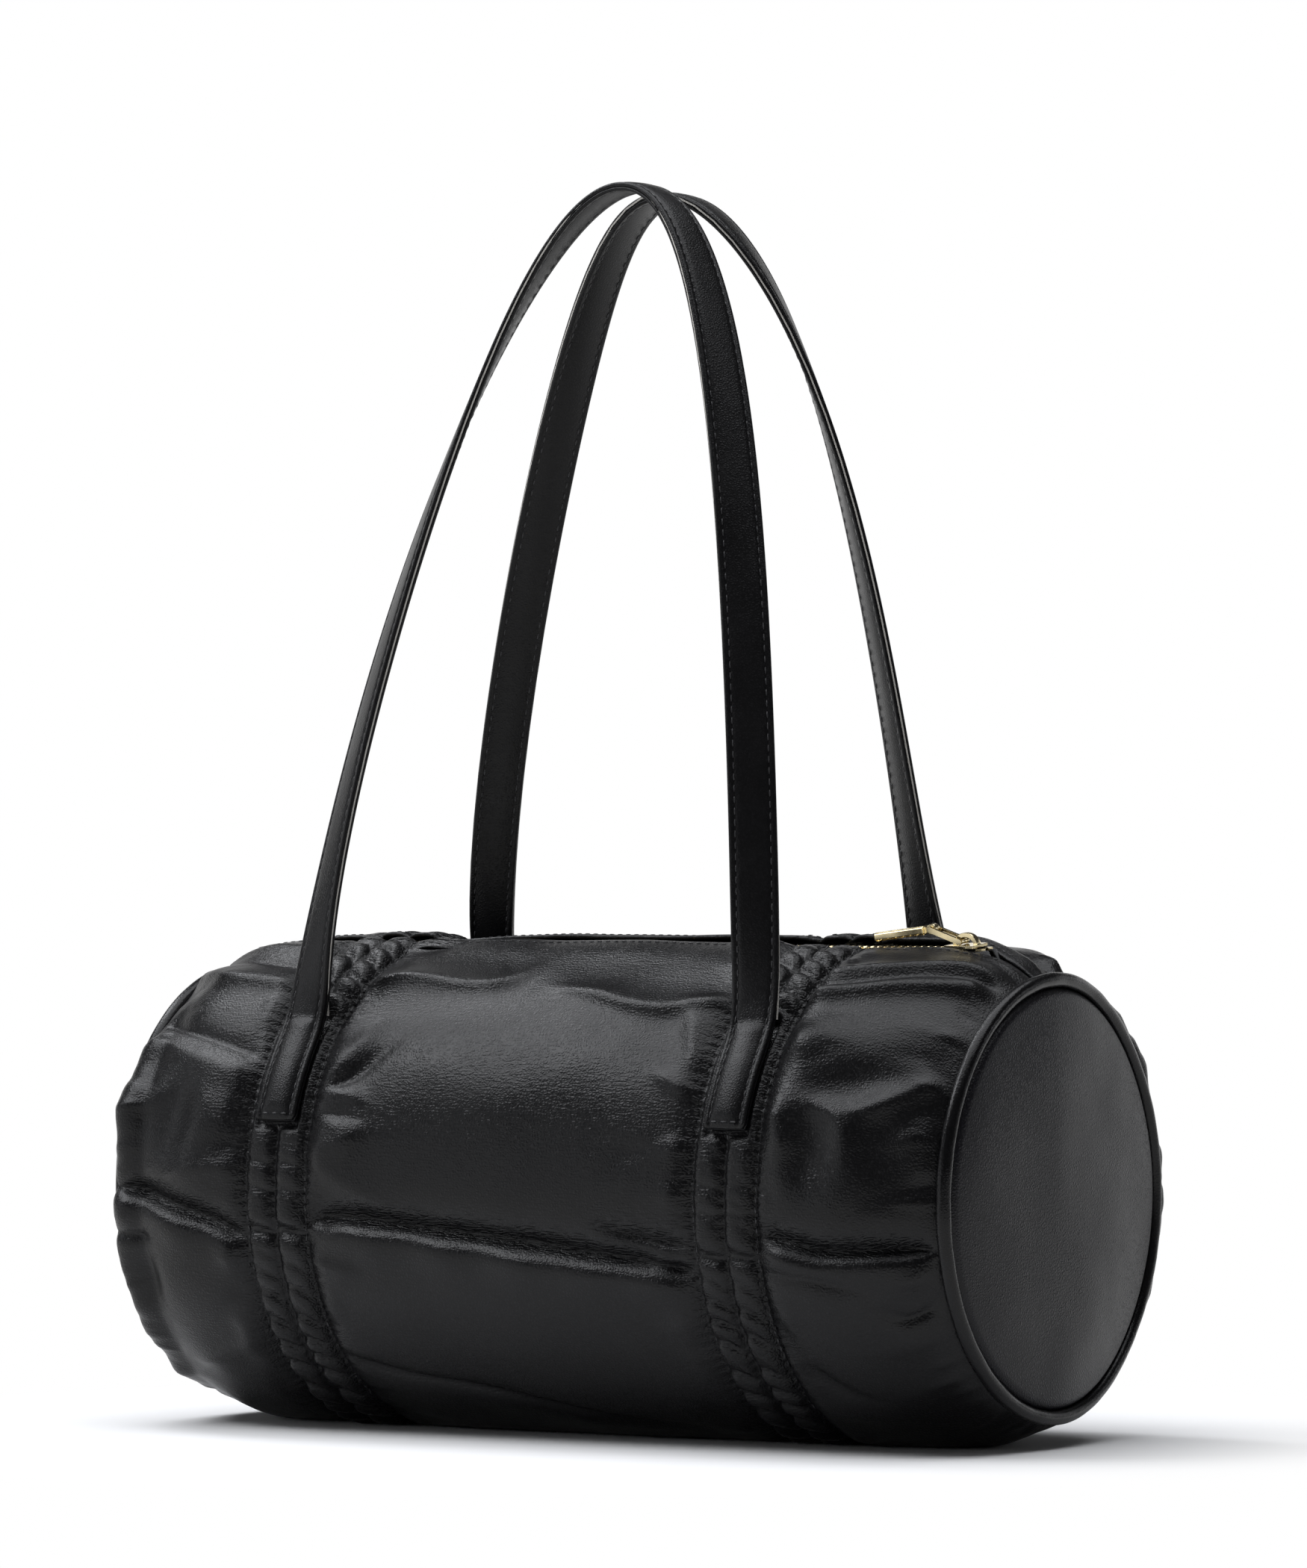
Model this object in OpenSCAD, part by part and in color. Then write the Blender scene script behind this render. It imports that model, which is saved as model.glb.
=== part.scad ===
// Ruched barrel shoulder bag. A soft leather tube is drawn in by two stitched bands,
// closed by two round end panels with piping, opened by a zip along the top, and carried
// by two long flat straps that stand up and lean against each other.
// Millimetres. +X runs along the bag to the zip's closed end, -Y is the front, +Z is up.
// The origin is on the floor, under the middle of the body.

/* [Body] */
// Distance between the planes of the two piping rings
body_l = 322; // [280:1:400]
// Radius of the filled body midway between the bands
body_r = 83; // [74:0.5:100]
// How much less the radius is beyond the bands
side_step = 0.4; // [0:0.1:1.5]
// How much the bands draw the body in
band_pinch = 1.5; // [0.6:0.1:2.4]
// How much smaller the piping rings are than the body
rim_step = 11; // [8:0.5:16]
// How far the soft underside is pressed flat by the floor
sag = 3.5; // [2:0.1:6]
// How far the bag has rolled towards its front, in degrees
roll = 7; // [0:0.5:12]
// Thickness of the body leather
leather_t = 1.4; // [1:0.1:2]
// Thickness of the lining cloth
lining_t = 0.5; // [0.4:0.05:0.8]
// Clearance between layers that lie on each other
layer_gap = 0.1; // [0.05:0.01:0.2]

/* [Gathered bands] */
// Distance from the middle of the bag to the middle of each band
band_x = 87; // [70:0.5:100]
// Width of one stitched channel, of which each band has two
channel_w = 11.5; // [9:0.5:14]
// Width of the elastic in a channel
elastic_w = 8; // [5:0.5:8.5]
// Thickness of the elastic
elastic_t = 0.5; // [0.3:0.05:0.6]

/* [Ends] */
// Diameter of the piping
piping_d = 5; // [4:0.1:7]
// Thickness of the leather round the piping cord
piping_t = 0.9; // [0.6:0.05:1.2]
// Height of the end panel's dome
dome_h = 4; // [2:0.5:8]
// Thickness of the foam sheet behind an end panel
stiffener_t = 1.5; // [1:0.1:3]

/* [Zip] */
// Width of the slot between the two folded leather edges
slot_w = 13; // [11.5:0.5:16]
// Width of one zip tape from its toothed edge to its sewn edge
tape_w = 12; // [10:0.5:14]
// Thickness of the zip tape
tape_t = 0.6; // [0.5:0.05:0.7]
// Distance from one tooth to the next on the same tape
tooth_pitch = 2.6; // [2.2:0.1:3.2]
// Thickness of a tooth
tooth_t = 2.4; // [2:0.1:2.6]
// Width of the closed chain of teeth
chain_w = 5.8; // [5:0.1:6.4]
// Distance from the right piping ring's plane to the closed slider
slider_in = 28; // [27:0.5:40]
// Distance from the left piping ring's plane to the slider when it is fully open
slider_open_in = 34; // [33:0.5:60]
// Length of the slider's body
slider_l = 11; // [10:0.5:13]
// Width of the slider's body
slider_w = 9.4; // [9:0.1:10.5]
// Thickness of each of the slider's plates
plate_t = 1; // [0.8:0.1:1.2]
// Length of the link between slider and pull, from hole to hole
link_l = 11.5; // [10:0.5:14]
// Slope of the link at rest, in degrees
link_rise = 20; // [16:1:32]
// Length of the pull bar
pull_l = 21; // [16:0.5:28]
// Width of the pull bar
pull_w = 5; // [4:0.1:6]
// Thickness of the pull bar
pull_t = 2.8; // [2.2:0.1:3.2]
// Slope of the pull bar down to its tip, in degrees
pull_dip = 7; // [3:0.5:8]

/* [Straps] */
// Width of a strap
strap_w = 15.5; // [12:0.5:20]
// Thickness of the leather face of a strap
strap_face_t = 1.2; // [1:0.1:1.4]
// Thickness of the filler between a strap's two leathers
strap_core_t = 0.5; // [0.4:0.05:0.8]
// Thickness of the leather back of a strap
strap_back_t = 1.1; // [0.8:0.1:1.4]
// Height of the front strap's crown, to the middle of its thickness
front_crown_z = 409; // [330:1:460]
// Height of the back strap's crown
back_crown_z = 407; // [330:1:460]
// Depth of the front strap's crown, towards the back of the bag from its middle
front_crown_y = -1; // [-8:0.5:0]
// Depth of the back strap's crown
back_crown_y = 22; // [20:0.5:30]
// Length of the strap end that is sewn to the body
tab_l = 37; // [28:0.5:44]
// Angle round the body from the zip to the top of a sewn strap end, in degrees
tab_angle = 41; // [36:0.5:48]
// Clearance between a sewn end and the free strap above it
hinge_gap = 0.3; // [0.25:0.05:0.5]
// Width of the patch behind a sewn end
patch_w = 24; // [18:0.5:30]
// Length of that patch
patch_l = 44; // [40:0.5:50]

/* [Pocket] */
// Width of the slip pocket on the back lining
pocket_w = 120; // [80:1:140]
// Depth of the slip pocket
pocket_h = 75; // [50:1:90]

/* [Hidden] */

$fn = 96;

// How far a cut runs past what it cuts
overrun = 5;

leather_c = [0.045, 0.043, 0.045];
piping_c = [0.06, 0.058, 0.06];
lining_c = [0.16, 0.15, 0.15];
pocket_c = [0.2, 0.19, 0.19];
foam_c = [0.55, 0.55, 0.52];
cord_c = [0.75, 0.74, 0.7];
elastic_c = [0.85, 0.84, 0.8];
tape_c = [0.07, 0.07, 0.075];
gold_c = [0.83, 0.68, 0.36];
core_c = [0.5, 0.48, 0.44];

// Body
axis_z = body_r - sag;
side_r = body_r - side_step;
band_r = body_r - band_pinch;
rim_r = body_r - rim_step;
seam_r = rim_r - piping_d / 2;
rim_x = body_l / 2;
panel_end_x = rim_x - piping_d / 2 - layer_gap;
band_half_w = channel_w + layer_gap;
band_in_x = band_x - band_half_w;
band_out_x = band_x + band_half_w;

// The slider's closed place, and its travel from closed to open
slider_x = rim_x - slider_in;
slider_travel = body_l - slider_in - slider_open_in;

// Half the gap between the two tapes, and the gap in the lining that they close
tape_edge_y = 1.6;
lining_gap_w = 2 * (tape_w + tape_edge_y + layer_gap);

// Between two columns of points a wall is flat, so what lies inside it keeps clear of the
// widest facet. The pocket also keeps clear of the lining's folds
widest_facet_angle = 8.4;
facet_gap = layer_gap + body_r * (1 - cos(widest_facet_angle / 2));
pocket_gap = 1;

// Depths of the layers under the outer face of the body
elastic_depth = leather_t + facet_gap;
patch_depth = elastic_depth + elastic_t + facet_gap;
patch_t = elastic_t;
lining_depth = patch_depth + patch_t + layer_gap;
pocket_depth = lining_depth + lining_t + pocket_gap;

// Shapes of the body's outline, as shares and powers
centre_power = 4;
shoulder_power = 3.6;
band_ease_share = 0.2;
centre_shares = [0, 0.26, 0.5, 0.72, 0.9];
side_shares = [0.1, 0.25, 0.42, 0.58, 0.72, 0.84, 0.93, 1];

// The folds of the front, which the back repeats end for end. A ridge runs below the zip,
// and the weight folds a long crease into the widest line, with a lip under it
ridge_angle = 31;
ridge_span_angle = 8;
ridge_h = 1.8;
crease_angle = 93;
crease_near_angle = 4;
crease_far_angle = 10;
crease_d = 5;
crease_brow_d = 2;
crease_lip_h = 2;
folds = [
    [ridge_angle - ridge_span_angle, 0], [ridge_angle, ridge_h], [ridge_angle + ridge_span_angle, 0],
    [crease_angle - crease_far_angle, 0], [crease_angle - crease_near_angle, -crease_brow_d],
    [crease_angle, -crease_d], [crease_angle + crease_near_angle, crease_lip_h],
    [crease_angle + crease_far_angle, 0]];
fold_fade_power = 6;

// The body's outer radius at a place along it and a turn from the zip, in degrees
function band_dip(share) = band_step * pow(max(0, 1 - share / band_ease_share), 2);
band_step = side_r - band_r;
function side_radius(share) =
    seam_r + (side_r - seam_r) * (1 - pow(share, shoulder_power)) - band_dip(share);
function outline_radius(x) = let (reach = abs(x))
    reach < band_in_x ? body_r - band_pinch * pow(reach / band_in_x, centre_power)
    : reach <= band_out_x ? band_r
    : side_radius((reach - band_out_x) / (panel_end_x - band_out_x));
function fold(x, turn) = abs(abs(x) - band_x) <= band_half_w ? 0
    : (1 - pow(min(1, abs(x) / panel_end_x), fold_fade_power)) * lookup(min(turn, 360 - turn), folds);

// The crease isn't level. This is how far round the body it drifts, in degrees, at places
// along the front, and the columns of points round it drift with it
drift_reach_angle = 60;
crease_drift = [
    [-panel_end_x, -9], [-band_out_x, 1], [-band_in_x, 1], [-band_in_x * 0.7, -4], [0, -1],
    [band_in_x * 0.7, 3], [band_in_x, 3], [band_out_x, 3], [panel_end_x, 2]];
function drift(x, turn) =
    lookup(x, crease_drift) * max(0, 1 - abs(turn - crease_angle) / drift_reach_angle);
function drifted(x, turn) = turn <= 180 ? turn + drift(x, turn) : turn - drift(-x, 360 - turn);

// A point of a layer, on the floor where the body would sag below it
function body_point(x, turn, depth) = let (
    radius = outline_radius(x) + fold(x, turn) - depth,
    angle = drifted(x, turn) + roll)
    [x, -radius * sin(angle), max(axis_z + radius * cos(angle), depth)];

// Stations along the bag, from one end to the other
half_stations = concat(
    [for (share = centre_shares) band_in_x * share], [band_in_x, band_x, band_out_x],
    [for (share = side_shares) band_out_x + (panel_end_x - band_out_x) * share]);
function flipped(list) = [for (i = [len(list) - 1 : -1 : 1]) -list[i]];
stations = concat(flipped(half_stations), half_stations);
function spread(from, to, steps) = [for (i = [0 : steps]) from + (to - from) * i / steps];

// A sheet between two grids of points, outer and inner. Its rows follow the bag or strap,
// and its columns run across them
module sheet(outer, inner) {
    rows = len(outer);
    columns = len(outer[0]);
    skin = rows * columns;
    points = [for (grid = [outer, inner], row = grid) each row];
    skins = [for (r = [0 : rows - 2], c = [0 : columns - 2]) let (
        p = r * columns + c, q = p + 1, u = p + columns, v = u + 1)
        each [[p, u, v], [p, v, q], [skin + p, skin + v, skin + u], [skin + p, skin + q, skin + v]]];
    edges = [for (r = [0 : rows - 2]) let (
        p = r * columns, u = p + columns, q = u - 1, v = q + columns)
        each [[p, skin + u, u], [p, skin + p, skin + u], [q, v, skin + v], [q, skin + v, skin + q]]];
    ends = [for (c = [0 : columns - 2]) let (
        p = c, q = c + 1, u = (rows - 1) * columns + c, v = u + 1)
        each [[p, q, skin + q], [p, skin + q, skin + p], [u, skin + v, v], [u, skin + u, skin + v]]];
    polyhedron(points, concat(skins, edges, ends));
}
function body_grid(places, turns, depth) =
    [for (x = places) [for (turn = turns) body_point(x, turn, depth)]];
module wall(places, turns, depth, thickness)
    sheet(body_grid(places, turns, depth), body_grid(places, turns, depth + thickness));

// The frame of the zip: Z points out through the middle of the slot
module at_zip() translate([0, 0, axis_z]) rotate([roll, 0, 0]) children();

// The columns of points round the body stand on the folds' own lines
slot_turn = asin(slot_w / 2 / body_r);
top_columns = 3;
side_columns = 6;
under_columns = 10;
half_turns = concat(
    spread(slot_turn, ridge_angle - ridge_span_angle, top_columns), [ridge_angle],
    spread(ridge_angle + ridge_span_angle, crease_angle - crease_far_angle, side_columns),
    [crease_angle - crease_near_angle, crease_angle, crease_angle + crease_near_angle],
    spread(crease_angle + crease_far_angle, 180, under_columns));
panel_turns = concat(half_turns, [for (i = [len(half_turns) - 2 : -1 : 0]) 360 - half_turns[i]]);
function turns_between(from, to) =
    concat([from], [for (turn = panel_turns) if (turn > from + 1 && turn < to - 1) turn], [to]);
module main_panel() color(leather_c) wall(stations, panel_turns, 0, leather_t);

// Where the sheets of an end wall lie, outwards from the rim's plane
stiffener_lift = leather_t / 2 - leather_t - layer_gap;
lining_end_lift = stiffener_lift - stiffener_t - layer_gap;

// The lining stops at its end sheets, and at the tapes
lining_turn = asin(lining_gap_w / 2 / (band_r - lining_depth - lining_t));
lining_end_x = rim_x + lining_end_lift - lining_t - layer_gap;
module lining_tube() color(lining_c)
    wall([for (x = stations) max(-lining_end_x, min(lining_end_x, x))],
        turns_between(lining_turn, 360 - lining_turn), lining_depth, lining_t);

// The pocket is a sheet on the back of the lining, sewn down on three sides
pocket_rows = 6;
pocket_turn = 270 - roll;
pocket_span = pocket_h / body_r * 180 / PI;
module lining_pocket() color(pocket_c)
    wall(spread(-pocket_w / 2, pocket_w / 2, pocket_rows),
        turns_between(pocket_turn - pocket_span / 2, pocket_turn + pocket_span / 2),
        pocket_depth, lining_t);

// An elastic lies in a channel, and stops where the lining does
elastic_turns = [for (turn = panel_turns) if (turn > lining_turn && turn < 360 - lining_turn) turn];
module elastic(x) wall([x - elastic_w / 2, x + elastic_w / 2], elastic_turns, elastic_depth, elastic_t);
module band_elastics(side) color(elastic_c)
    for (channel = [-1, 1]) elastic(side * band_x + channel * channel_w / 2);
module left_band_elastics() band_elastics(-1);
module right_band_elastics() band_elastics(1);

// Places children at one end of the bag, with Z pointing outwards from the rim's plane
module at_end(side) translate([side * rim_x, 0, axis_z]) rotate([0, side * 90, 0]) children();

// Sheets behind one another in the end wall, all with the same dome
panel_edge_r = seam_r - piping_d / 2 - layer_gap;
dome_steps = 10;
function dome(radius) = dome_h * (1 - pow(radius / panel_edge_r, 2));
module domed_sheet(lift, thickness) rotate_extrude() polygon(concat(
    [for (i = [0 : dome_steps]) let (r = panel_edge_r * i / dome_steps) [r, lift + dome(r)]],
    [for (i = [dome_steps : -1 : 0])
        let (r = panel_edge_r * i / dome_steps) [r, lift + dome(r) - thickness]]));

module end_panel(side) color(leather_c) at_end(side) domed_sheet(leather_t / 2, leather_t);
module left_end_panel() end_panel(-1);
module right_end_panel() end_panel(1);

module end_stiffener(side) color(foam_c) at_end(side) domed_sheet(stiffener_lift, stiffener_t);
module left_end_stiffener() end_stiffener(-1);
module right_end_stiffener() end_stiffener(1);

module lining_end(side) color(lining_c) at_end(side) domed_sheet(lining_end_lift, lining_t);
module left_lining_end() lining_end(-1);
module right_lining_end() lining_end(1);

module ring(bar_r) rotate_extrude() translate([seam_r, 0]) circle(r = bar_r);
module piping(side) color(piping_c) at_end(side) difference() {
    ring(piping_d / 2);
    ring(piping_d / 2 - piping_t);
}
module left_piping() piping(-1);
module right_piping() piping(1);

module piping_cord(side) color(cord_c) at_end(side) ring(piping_d / 2 - piping_t - layer_gap);
module left_piping_cord() piping_cord(-1);
module right_piping_cord() piping_cord(1);

// Zip. The tapes lie level under the leather and follow it down near the ends, but beside
// the teeth they stay level as far as the stops
tape_out_r = band_r - elastic_depth - elastic_t - layer_gap;
zip_r = tape_out_r - tape_t / 2;
tape_level_w = 3.7;
tape_slot_gap = 0.3;
tape_level_share = 0.75;
tape_level_x = band_out_x + (panel_end_x - band_out_x) * tape_level_share;
tape_places = [tape_edge_y, tape_level_w, slot_w / 2 - tape_slot_gap, tape_edge_y + tape_w];
function tape_point(x, y, low) = let (
    level = abs(y) <= tape_level_w && abs(x) <= tape_level_x,
    under = outline_radius(x) - leather_t - facet_gap,
    radius = (level ? tape_out_r : min(tape_out_r, under)) - low,
    turn = asin(y / zip_r) + roll)
    [x, -radius * sin(turn), axis_z + radius * cos(turn)];
function tape_grid(places, low) = [for (x = stations) [for (y = places) tape_point(x, y, low)]];
module zip_tape(places) color(tape_c) sheet(tape_grid(places, 0), tape_grid(places, tape_t));
module zip_tape_front() zip_tape(tape_places);
module zip_tape_back() zip_tape([for (i = [len(tape_places) - 1 : -1 : 0]) -tape_places[i]]);

// A tooth clamps the edge of its tape and reaches past the middle of the chain
tooth_gap = 0.15;
tooth_w = tooth_pitch / 2 - tooth_gap;
tooth_reach = 0.9;
clamp_slot = tape_t + 2 * layer_gap;
chain_past_slider = 1;
chain_start_x = slider_x - slider_travel - slider_l / 2;
chain_end_x = slider_x + chain_past_slider;
tooth_count = floor((chain_end_x - chain_start_x) / tooth_pitch);

module tooth(x, side) at_zip() translate([x, 0, zip_r]) rotate([90, 0, 90])
    linear_extrude(tooth_w) difference() {
        polygon(side * [[-tooth_reach, tooth_t / 2], [-tooth_reach, -tooth_t / 2],
            [chain_w / 2, -tooth_t / 2], [chain_w / 2, tooth_t / 2]]);
        polygon(side * [[tape_edge_y - layer_gap, clamp_slot / 2],
            [tape_edge_y - layer_gap, -clamp_slot / 2],
            [chain_w / 2 + overrun, -clamp_slot / 2], [chain_w / 2 + overrun, clamp_slot / 2]]);
    }
module zip_teeth(side, shift) color(gold_c)
    for (i = [0 : tooth_count - 1]) tooth(chain_start_x + shift + i * tooth_pitch, side);
module zip_teeth_front() zip_teeth(-1, 0);
module zip_teeth_back() zip_teeth(1, tooth_pitch / 2);

// Stops: one on each tape at the closed end, one across both at the open end
stop_l = 2.2;
stop_half_w = 1.3;
stop_gap = 0.3;
top_stop_x = slider_x + slider_l / 2 + stop_gap;
module top_stop(side) at_zip()
    translate([top_stop_x, side * (tape_edge_y + stop_half_w / 2), zip_r]) difference() {
        translate([0, -stop_half_w, -tooth_t / 2]) cube([stop_l, 2 * stop_half_w, tooth_t]);
        translate([-overrun, side > 0 ? -stop_half_w / 2 - layer_gap : -overrun, -clamp_slot / 2])
            cube([stop_l + 2 * overrun, overrun + stop_half_w / 2 + layer_gap, clamp_slot]);
    }
module zip_top_stops() color(gold_c) for (side = [-1, 1]) top_stop(side);

module zip_bottom_stop() color(gold_c) at_zip()
    translate([chain_start_x - stop_gap - stop_l, 0, zip_r]) difference() {
        translate([0, -chain_w / 2, -tooth_t / 2]) cube([stop_l, chain_w, tooth_t]);
        for (side = [-1, 1])
            translate([-overrun, side > 0 ? tape_edge_y - layer_gap : -tape_edge_y + layer_gap - overrun,
                -clamp_slot / 2]) cube([stop_l + 2 * overrun, overrun, clamp_slot]);
    }

// The slider: two plates joined by a post at the closing end, with side flanges that
// hold the chain, and an arched bridge for the link
plate_gap = 0.2;
plate_in = tooth_t / 2 + plate_gap;
plate_out = plate_in + plate_t;
flange_w = 0.9;
flange_gap = 0.3;
flange_d = plate_in - tape_t / 2 - flange_gap;
flange_l_share = 0.47;
chain_gap = 0.15;
throat_w = chain_w + 2 * (chain_gap + flange_w);
post_r = 1;
bridge_r = 4.6;
bridge_t = 1.4;
bridge_w = 2.4;
bridge_sink = 0.8;
bridge_x = 0.7;
pin_r = 0.7;
eye_pin_r = 0.8;
pin_gap = 0.25;
pivot_back = 1.4;
pivot_x = bridge_x - pivot_back;
pivot_z = plate_out + pin_r + pin_gap;

module at_slider() at_zip() translate([slider_x, 0, zip_r]) children();

module plate_outline() polygon([
    [-slider_l / 2, -throat_w / 2], [0, -throat_w / 2],
    [slider_l / 4, -slider_w / 2], [slider_l / 2, -slider_w / 2],
    [slider_l / 2, slider_w / 2], [slider_l / 4, slider_w / 2],
    [0, throat_w / 2], [-slider_l / 2, throat_w / 2]]);
module slider_plate(side) translate([0, 0, side > 0 ? plate_in : -plate_out])
    linear_extrude(plate_t) plate_outline();
module slider_flange(side, level)
    translate([-slider_l / 2, side > 0 ? throat_w / 2 - flange_w : -throat_w / 2,
        level > 0 ? plate_in - flange_d : -plate_in])
    cube([slider_l * flange_l_share, flange_w, flange_d]);
module slider_bridge() translate([bridge_x, bridge_w / 2, 0]) rotate([90, 0, 0])
    linear_extrude(bridge_w) difference() {
        translate([0, plate_out - bridge_sink]) circle(r = bridge_r);
        translate([0, plate_out - bridge_sink]) circle(r = bridge_r - bridge_t);
        translate([-2 * bridge_r, plate_in - 2 * bridge_r]) square([4 * bridge_r, 2 * bridge_r]);
    }
module zip_slider() color(gold_c) at_slider() {
    for (level = [-1, 1]) {
        slider_plate(level);
        for (side = [-1, 1]) slider_flange(side, level);
    }
    translate([slider_l / 4 + post_r / 2, 0, -plate_in]) cylinder(r = post_r, h = 2 * plate_in);
    slider_bridge();
}

// The link straddles the bridge: two side arms, a pin through the bridge and an eye pin
arm_gap = 0.3;
arm_in_y = bridge_w / 2 + arm_gap;
arm_t = 1.2;
arm_h = 1.7;
module at_link() at_slider() translate([pivot_x, 0, pivot_z]) rotate([0, link_rise, 0]) children();
module cross_pin(radius, reach) rotate([90, 0, 0]) translate([0, 0, -reach])
    cylinder(r = radius, h = 2 * reach);
module zip_pull_link() color(gold_c) at_link() {
    for (side = [-1, 1]) translate([0, side > 0 ? arm_in_y + arm_t : -arm_in_y, 0])
        rotate([90, 0, 0]) linear_extrude(arm_t) {
            circle(r = arm_h / 2);
            translate([-link_l, -arm_h / 2]) square([link_l, arm_h]);
            translate([-link_l, 0]) circle(r = arm_h / 2);
        }
    cross_pin(pin_r, arm_in_y);
    translate([-link_l, 0, 0]) cross_pin(eye_pin_r, arm_in_y);
}

// The pull: a flat bar with bevelled edges, and an eye that turns on the link's pin
eye_gap = 0.12;
eye_t = 0.8;
eye_r = eye_pin_r + eye_gap + eye_t;
eye_w = 2 * (arm_in_y - pin_gap);
neck_l = 2.6;
neck_h = 2.1;
neck_sink = 1;
bevel_share = 0.3;
module at_pull() at_link() translate([-link_l, 0, 0]) rotate([0, -link_rise - pull_dip, 0]) children();
module pull_section() polygon([
    [-pull_w / 2, -pull_t * bevel_share], [-pull_w * bevel_share, -pull_t / 2],
    [pull_w * bevel_share, -pull_t / 2], [pull_w / 2, -pull_t * bevel_share],
    [pull_w / 2, pull_t * bevel_share], [pull_w * bevel_share, pull_t / 2],
    [-pull_w * bevel_share, pull_t / 2], [-pull_w / 2, pull_t * bevel_share]]);
module zip_pull_bar() color(gold_c) at_pull() {
    difference() {
        union() {
            cross_pin(eye_r, eye_w / 2);
            translate([-neck_l - neck_sink, -eye_w / 2, -neck_h / 2])
                cube([neck_l + neck_sink, eye_w, neck_h]);
        }
        cross_pin(eye_pin_r + eye_gap, eye_w);
    }
    translate([-neck_l, 0, 0]) rotate([0, -90, 0]) rotate([0, 0, 90])
        linear_extrude(pull_l - neck_l) pull_section();
}

// Strap ends sewn to the bands, and patches behind them, as strips of a ring
strap_t = strap_face_t + strap_core_t + strap_back_t + 2 * layer_gap;
tab_in_r = band_r + layer_gap;
tab_out_r = tab_in_r + strap_t;
tab_span = tab_l / band_r * 180 / PI;
patch_span = patch_l / band_r * 180 / PI;

module ring_strip(inner_r, thickness, x, width, from_turn, span) at_zip() rotate([0, 90, 0])
    rotate([0, 0, 180 + from_turn]) rotate_extrude(angle = span)
    translate([inner_r, x - width / 2]) square([thickness, width]);
module strap_end(front, side) color(leather_c)
    ring_strip(tab_in_r, strap_t, side * band_x, strap_w, front ? tab_angle : -tab_angle - tab_span, tab_span);
module front_strap_end_left() strap_end(true, -1);
module front_strap_end_right() strap_end(true, 1);
module back_strap_end_left() strap_end(false, -1);
module back_strap_end_right() strap_end(false, 1);

module strap_patches(front) color(core_c) for (side = [-1, 1])
    ring_strip(band_r - patch_depth - patch_t, patch_t, side * band_x, patch_w,
        front ? tab_angle - (patch_span - tab_span) / 2 : -tab_angle - (patch_span + tab_span) / 2,
        patch_span);
module front_strap_patches() strap_patches(true);
module back_strap_patches() strap_patches(false);

// Straps. Each runs from the top of one sewn end, over a crown, to the top of the other.
// A strap's place goes with the turn from 0 to 180 degrees between its two ends
strap_steps = 44;
front_hinge_turn = tab_angle + roll;
back_hinge_turn = tab_angle - roll;
function hinge_place(turn, outward) = [outward * (tab_out_r * sin(turn) - hinge_gap * cos(turn)),
    axis_z + tab_out_r * cos(turn) + hinge_gap * sin(turn)];
front_hinge = hinge_place(front_hinge_turn, -1);
back_hinge = hinge_place(back_hinge_turn, 1);
front_foot = front_hinge + [strap_t / 2, 0];
back_foot = back_hinge - [strap_t / 2, 0];

// How high, how far inwards and how twisted a strap is, as shares of its whole rise
rise_power = 1.55;
front_lean_power = 1.35;
back_lean_share = 0.36;
back_ease_share = 0.15;
back_lean_power = 5.5;
twist_ease_share = 0.1;
foot_twist_angle = 36;
crown_twist_power = 3;
function rise_share(turn) = pow(sin(turn), rise_power);
function lean_share(front, u) = front ? pow(u, front_lean_power)
    : back_lean_share * (1 - exp(-u / back_ease_share)) + (1 - back_lean_share) * pow(u, back_lean_power);
function twist(u) = foot_twist_angle * (1 - exp(-u / twist_ease_share))
    + (90 - foot_twist_angle) * pow(u, crown_twist_power);
function strap_place(front, turn) = let (
    u = rise_share(turn),
    foot = front ? front_foot : back_foot,
    crown = front ? [front_crown_y, front_crown_z] : [back_crown_y, back_crown_z],
    lean = lean_share(front, u))
    [-band_x * cos(turn), foot.x + (crown.x - foot.x) * lean, foot.y + (crown.y - foot.y) * u];
function unit(v) = v / norm(v);
function strap_turn(i) = 180 * i / strap_steps;
function strap_heading(front, i) = unit(
    strap_place(front, strap_turn(min(i + 0.5, strap_steps)))
    - strap_place(front, strap_turn(max(i - 0.5, 0))));
// The two corners of a strap at one ring, at a depth under the strap's face
function strap_row(front, i, depth) = let (
    place = strap_place(front, strap_turn(i)),
    heading = strap_heading(front, i),
    out = [0, front ? -1 : 1, 0],
    level = unit(out - (out * heading) * heading),
    side = front ? cross(level, heading) : cross(heading, level),
    turned = twist(rise_share(strap_turn(i))),
    normal = cos(turned) * level + sin(turned) * side,
    across = cross(heading, normal) * strap_w / 2,
    middle = place + normal * (strap_t / 2 - depth))
    [middle - across, middle + across];
function strap_grid(front, depth) = [for (i = [0 : strap_steps]) strap_row(front, i, depth)];
module strap_layer(front, top, bottom) sheet(strap_grid(front, top), strap_grid(front, bottom));

core_depth = strap_face_t + layer_gap;
back_depth = core_depth + strap_core_t + layer_gap;
module front_strap_face() color(leather_c) strap_layer(true, 0, strap_face_t);
module front_strap_core() color(core_c) strap_layer(true, core_depth, core_depth + strap_core_t);
module front_strap_back() color(piping_c) strap_layer(true, back_depth, strap_t);
module back_strap_face() color(leather_c) strap_layer(false, 0, strap_face_t);
module back_strap_core() color(core_c) strap_layer(false, core_depth, core_depth + strap_core_t);
module back_strap_back() color(piping_c) strap_layer(false, back_depth, strap_t);

// The places that the joints turn about
link_pivot = [slider_x + pivot_x, zip_r + pivot_z];
pull_pivot = link_pivot + link_l * [-cos(link_rise), sin(link_rise)];
function in_world(place) = [place.x, -place.y * sin(roll), axis_z + place.y * cos(roll)];
echo(front_hinge = front_hinge, back_hinge = back_hinge);
echo(link_pivot = in_world(link_pivot), pull_pivot = in_world(pull_pivot));

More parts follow.
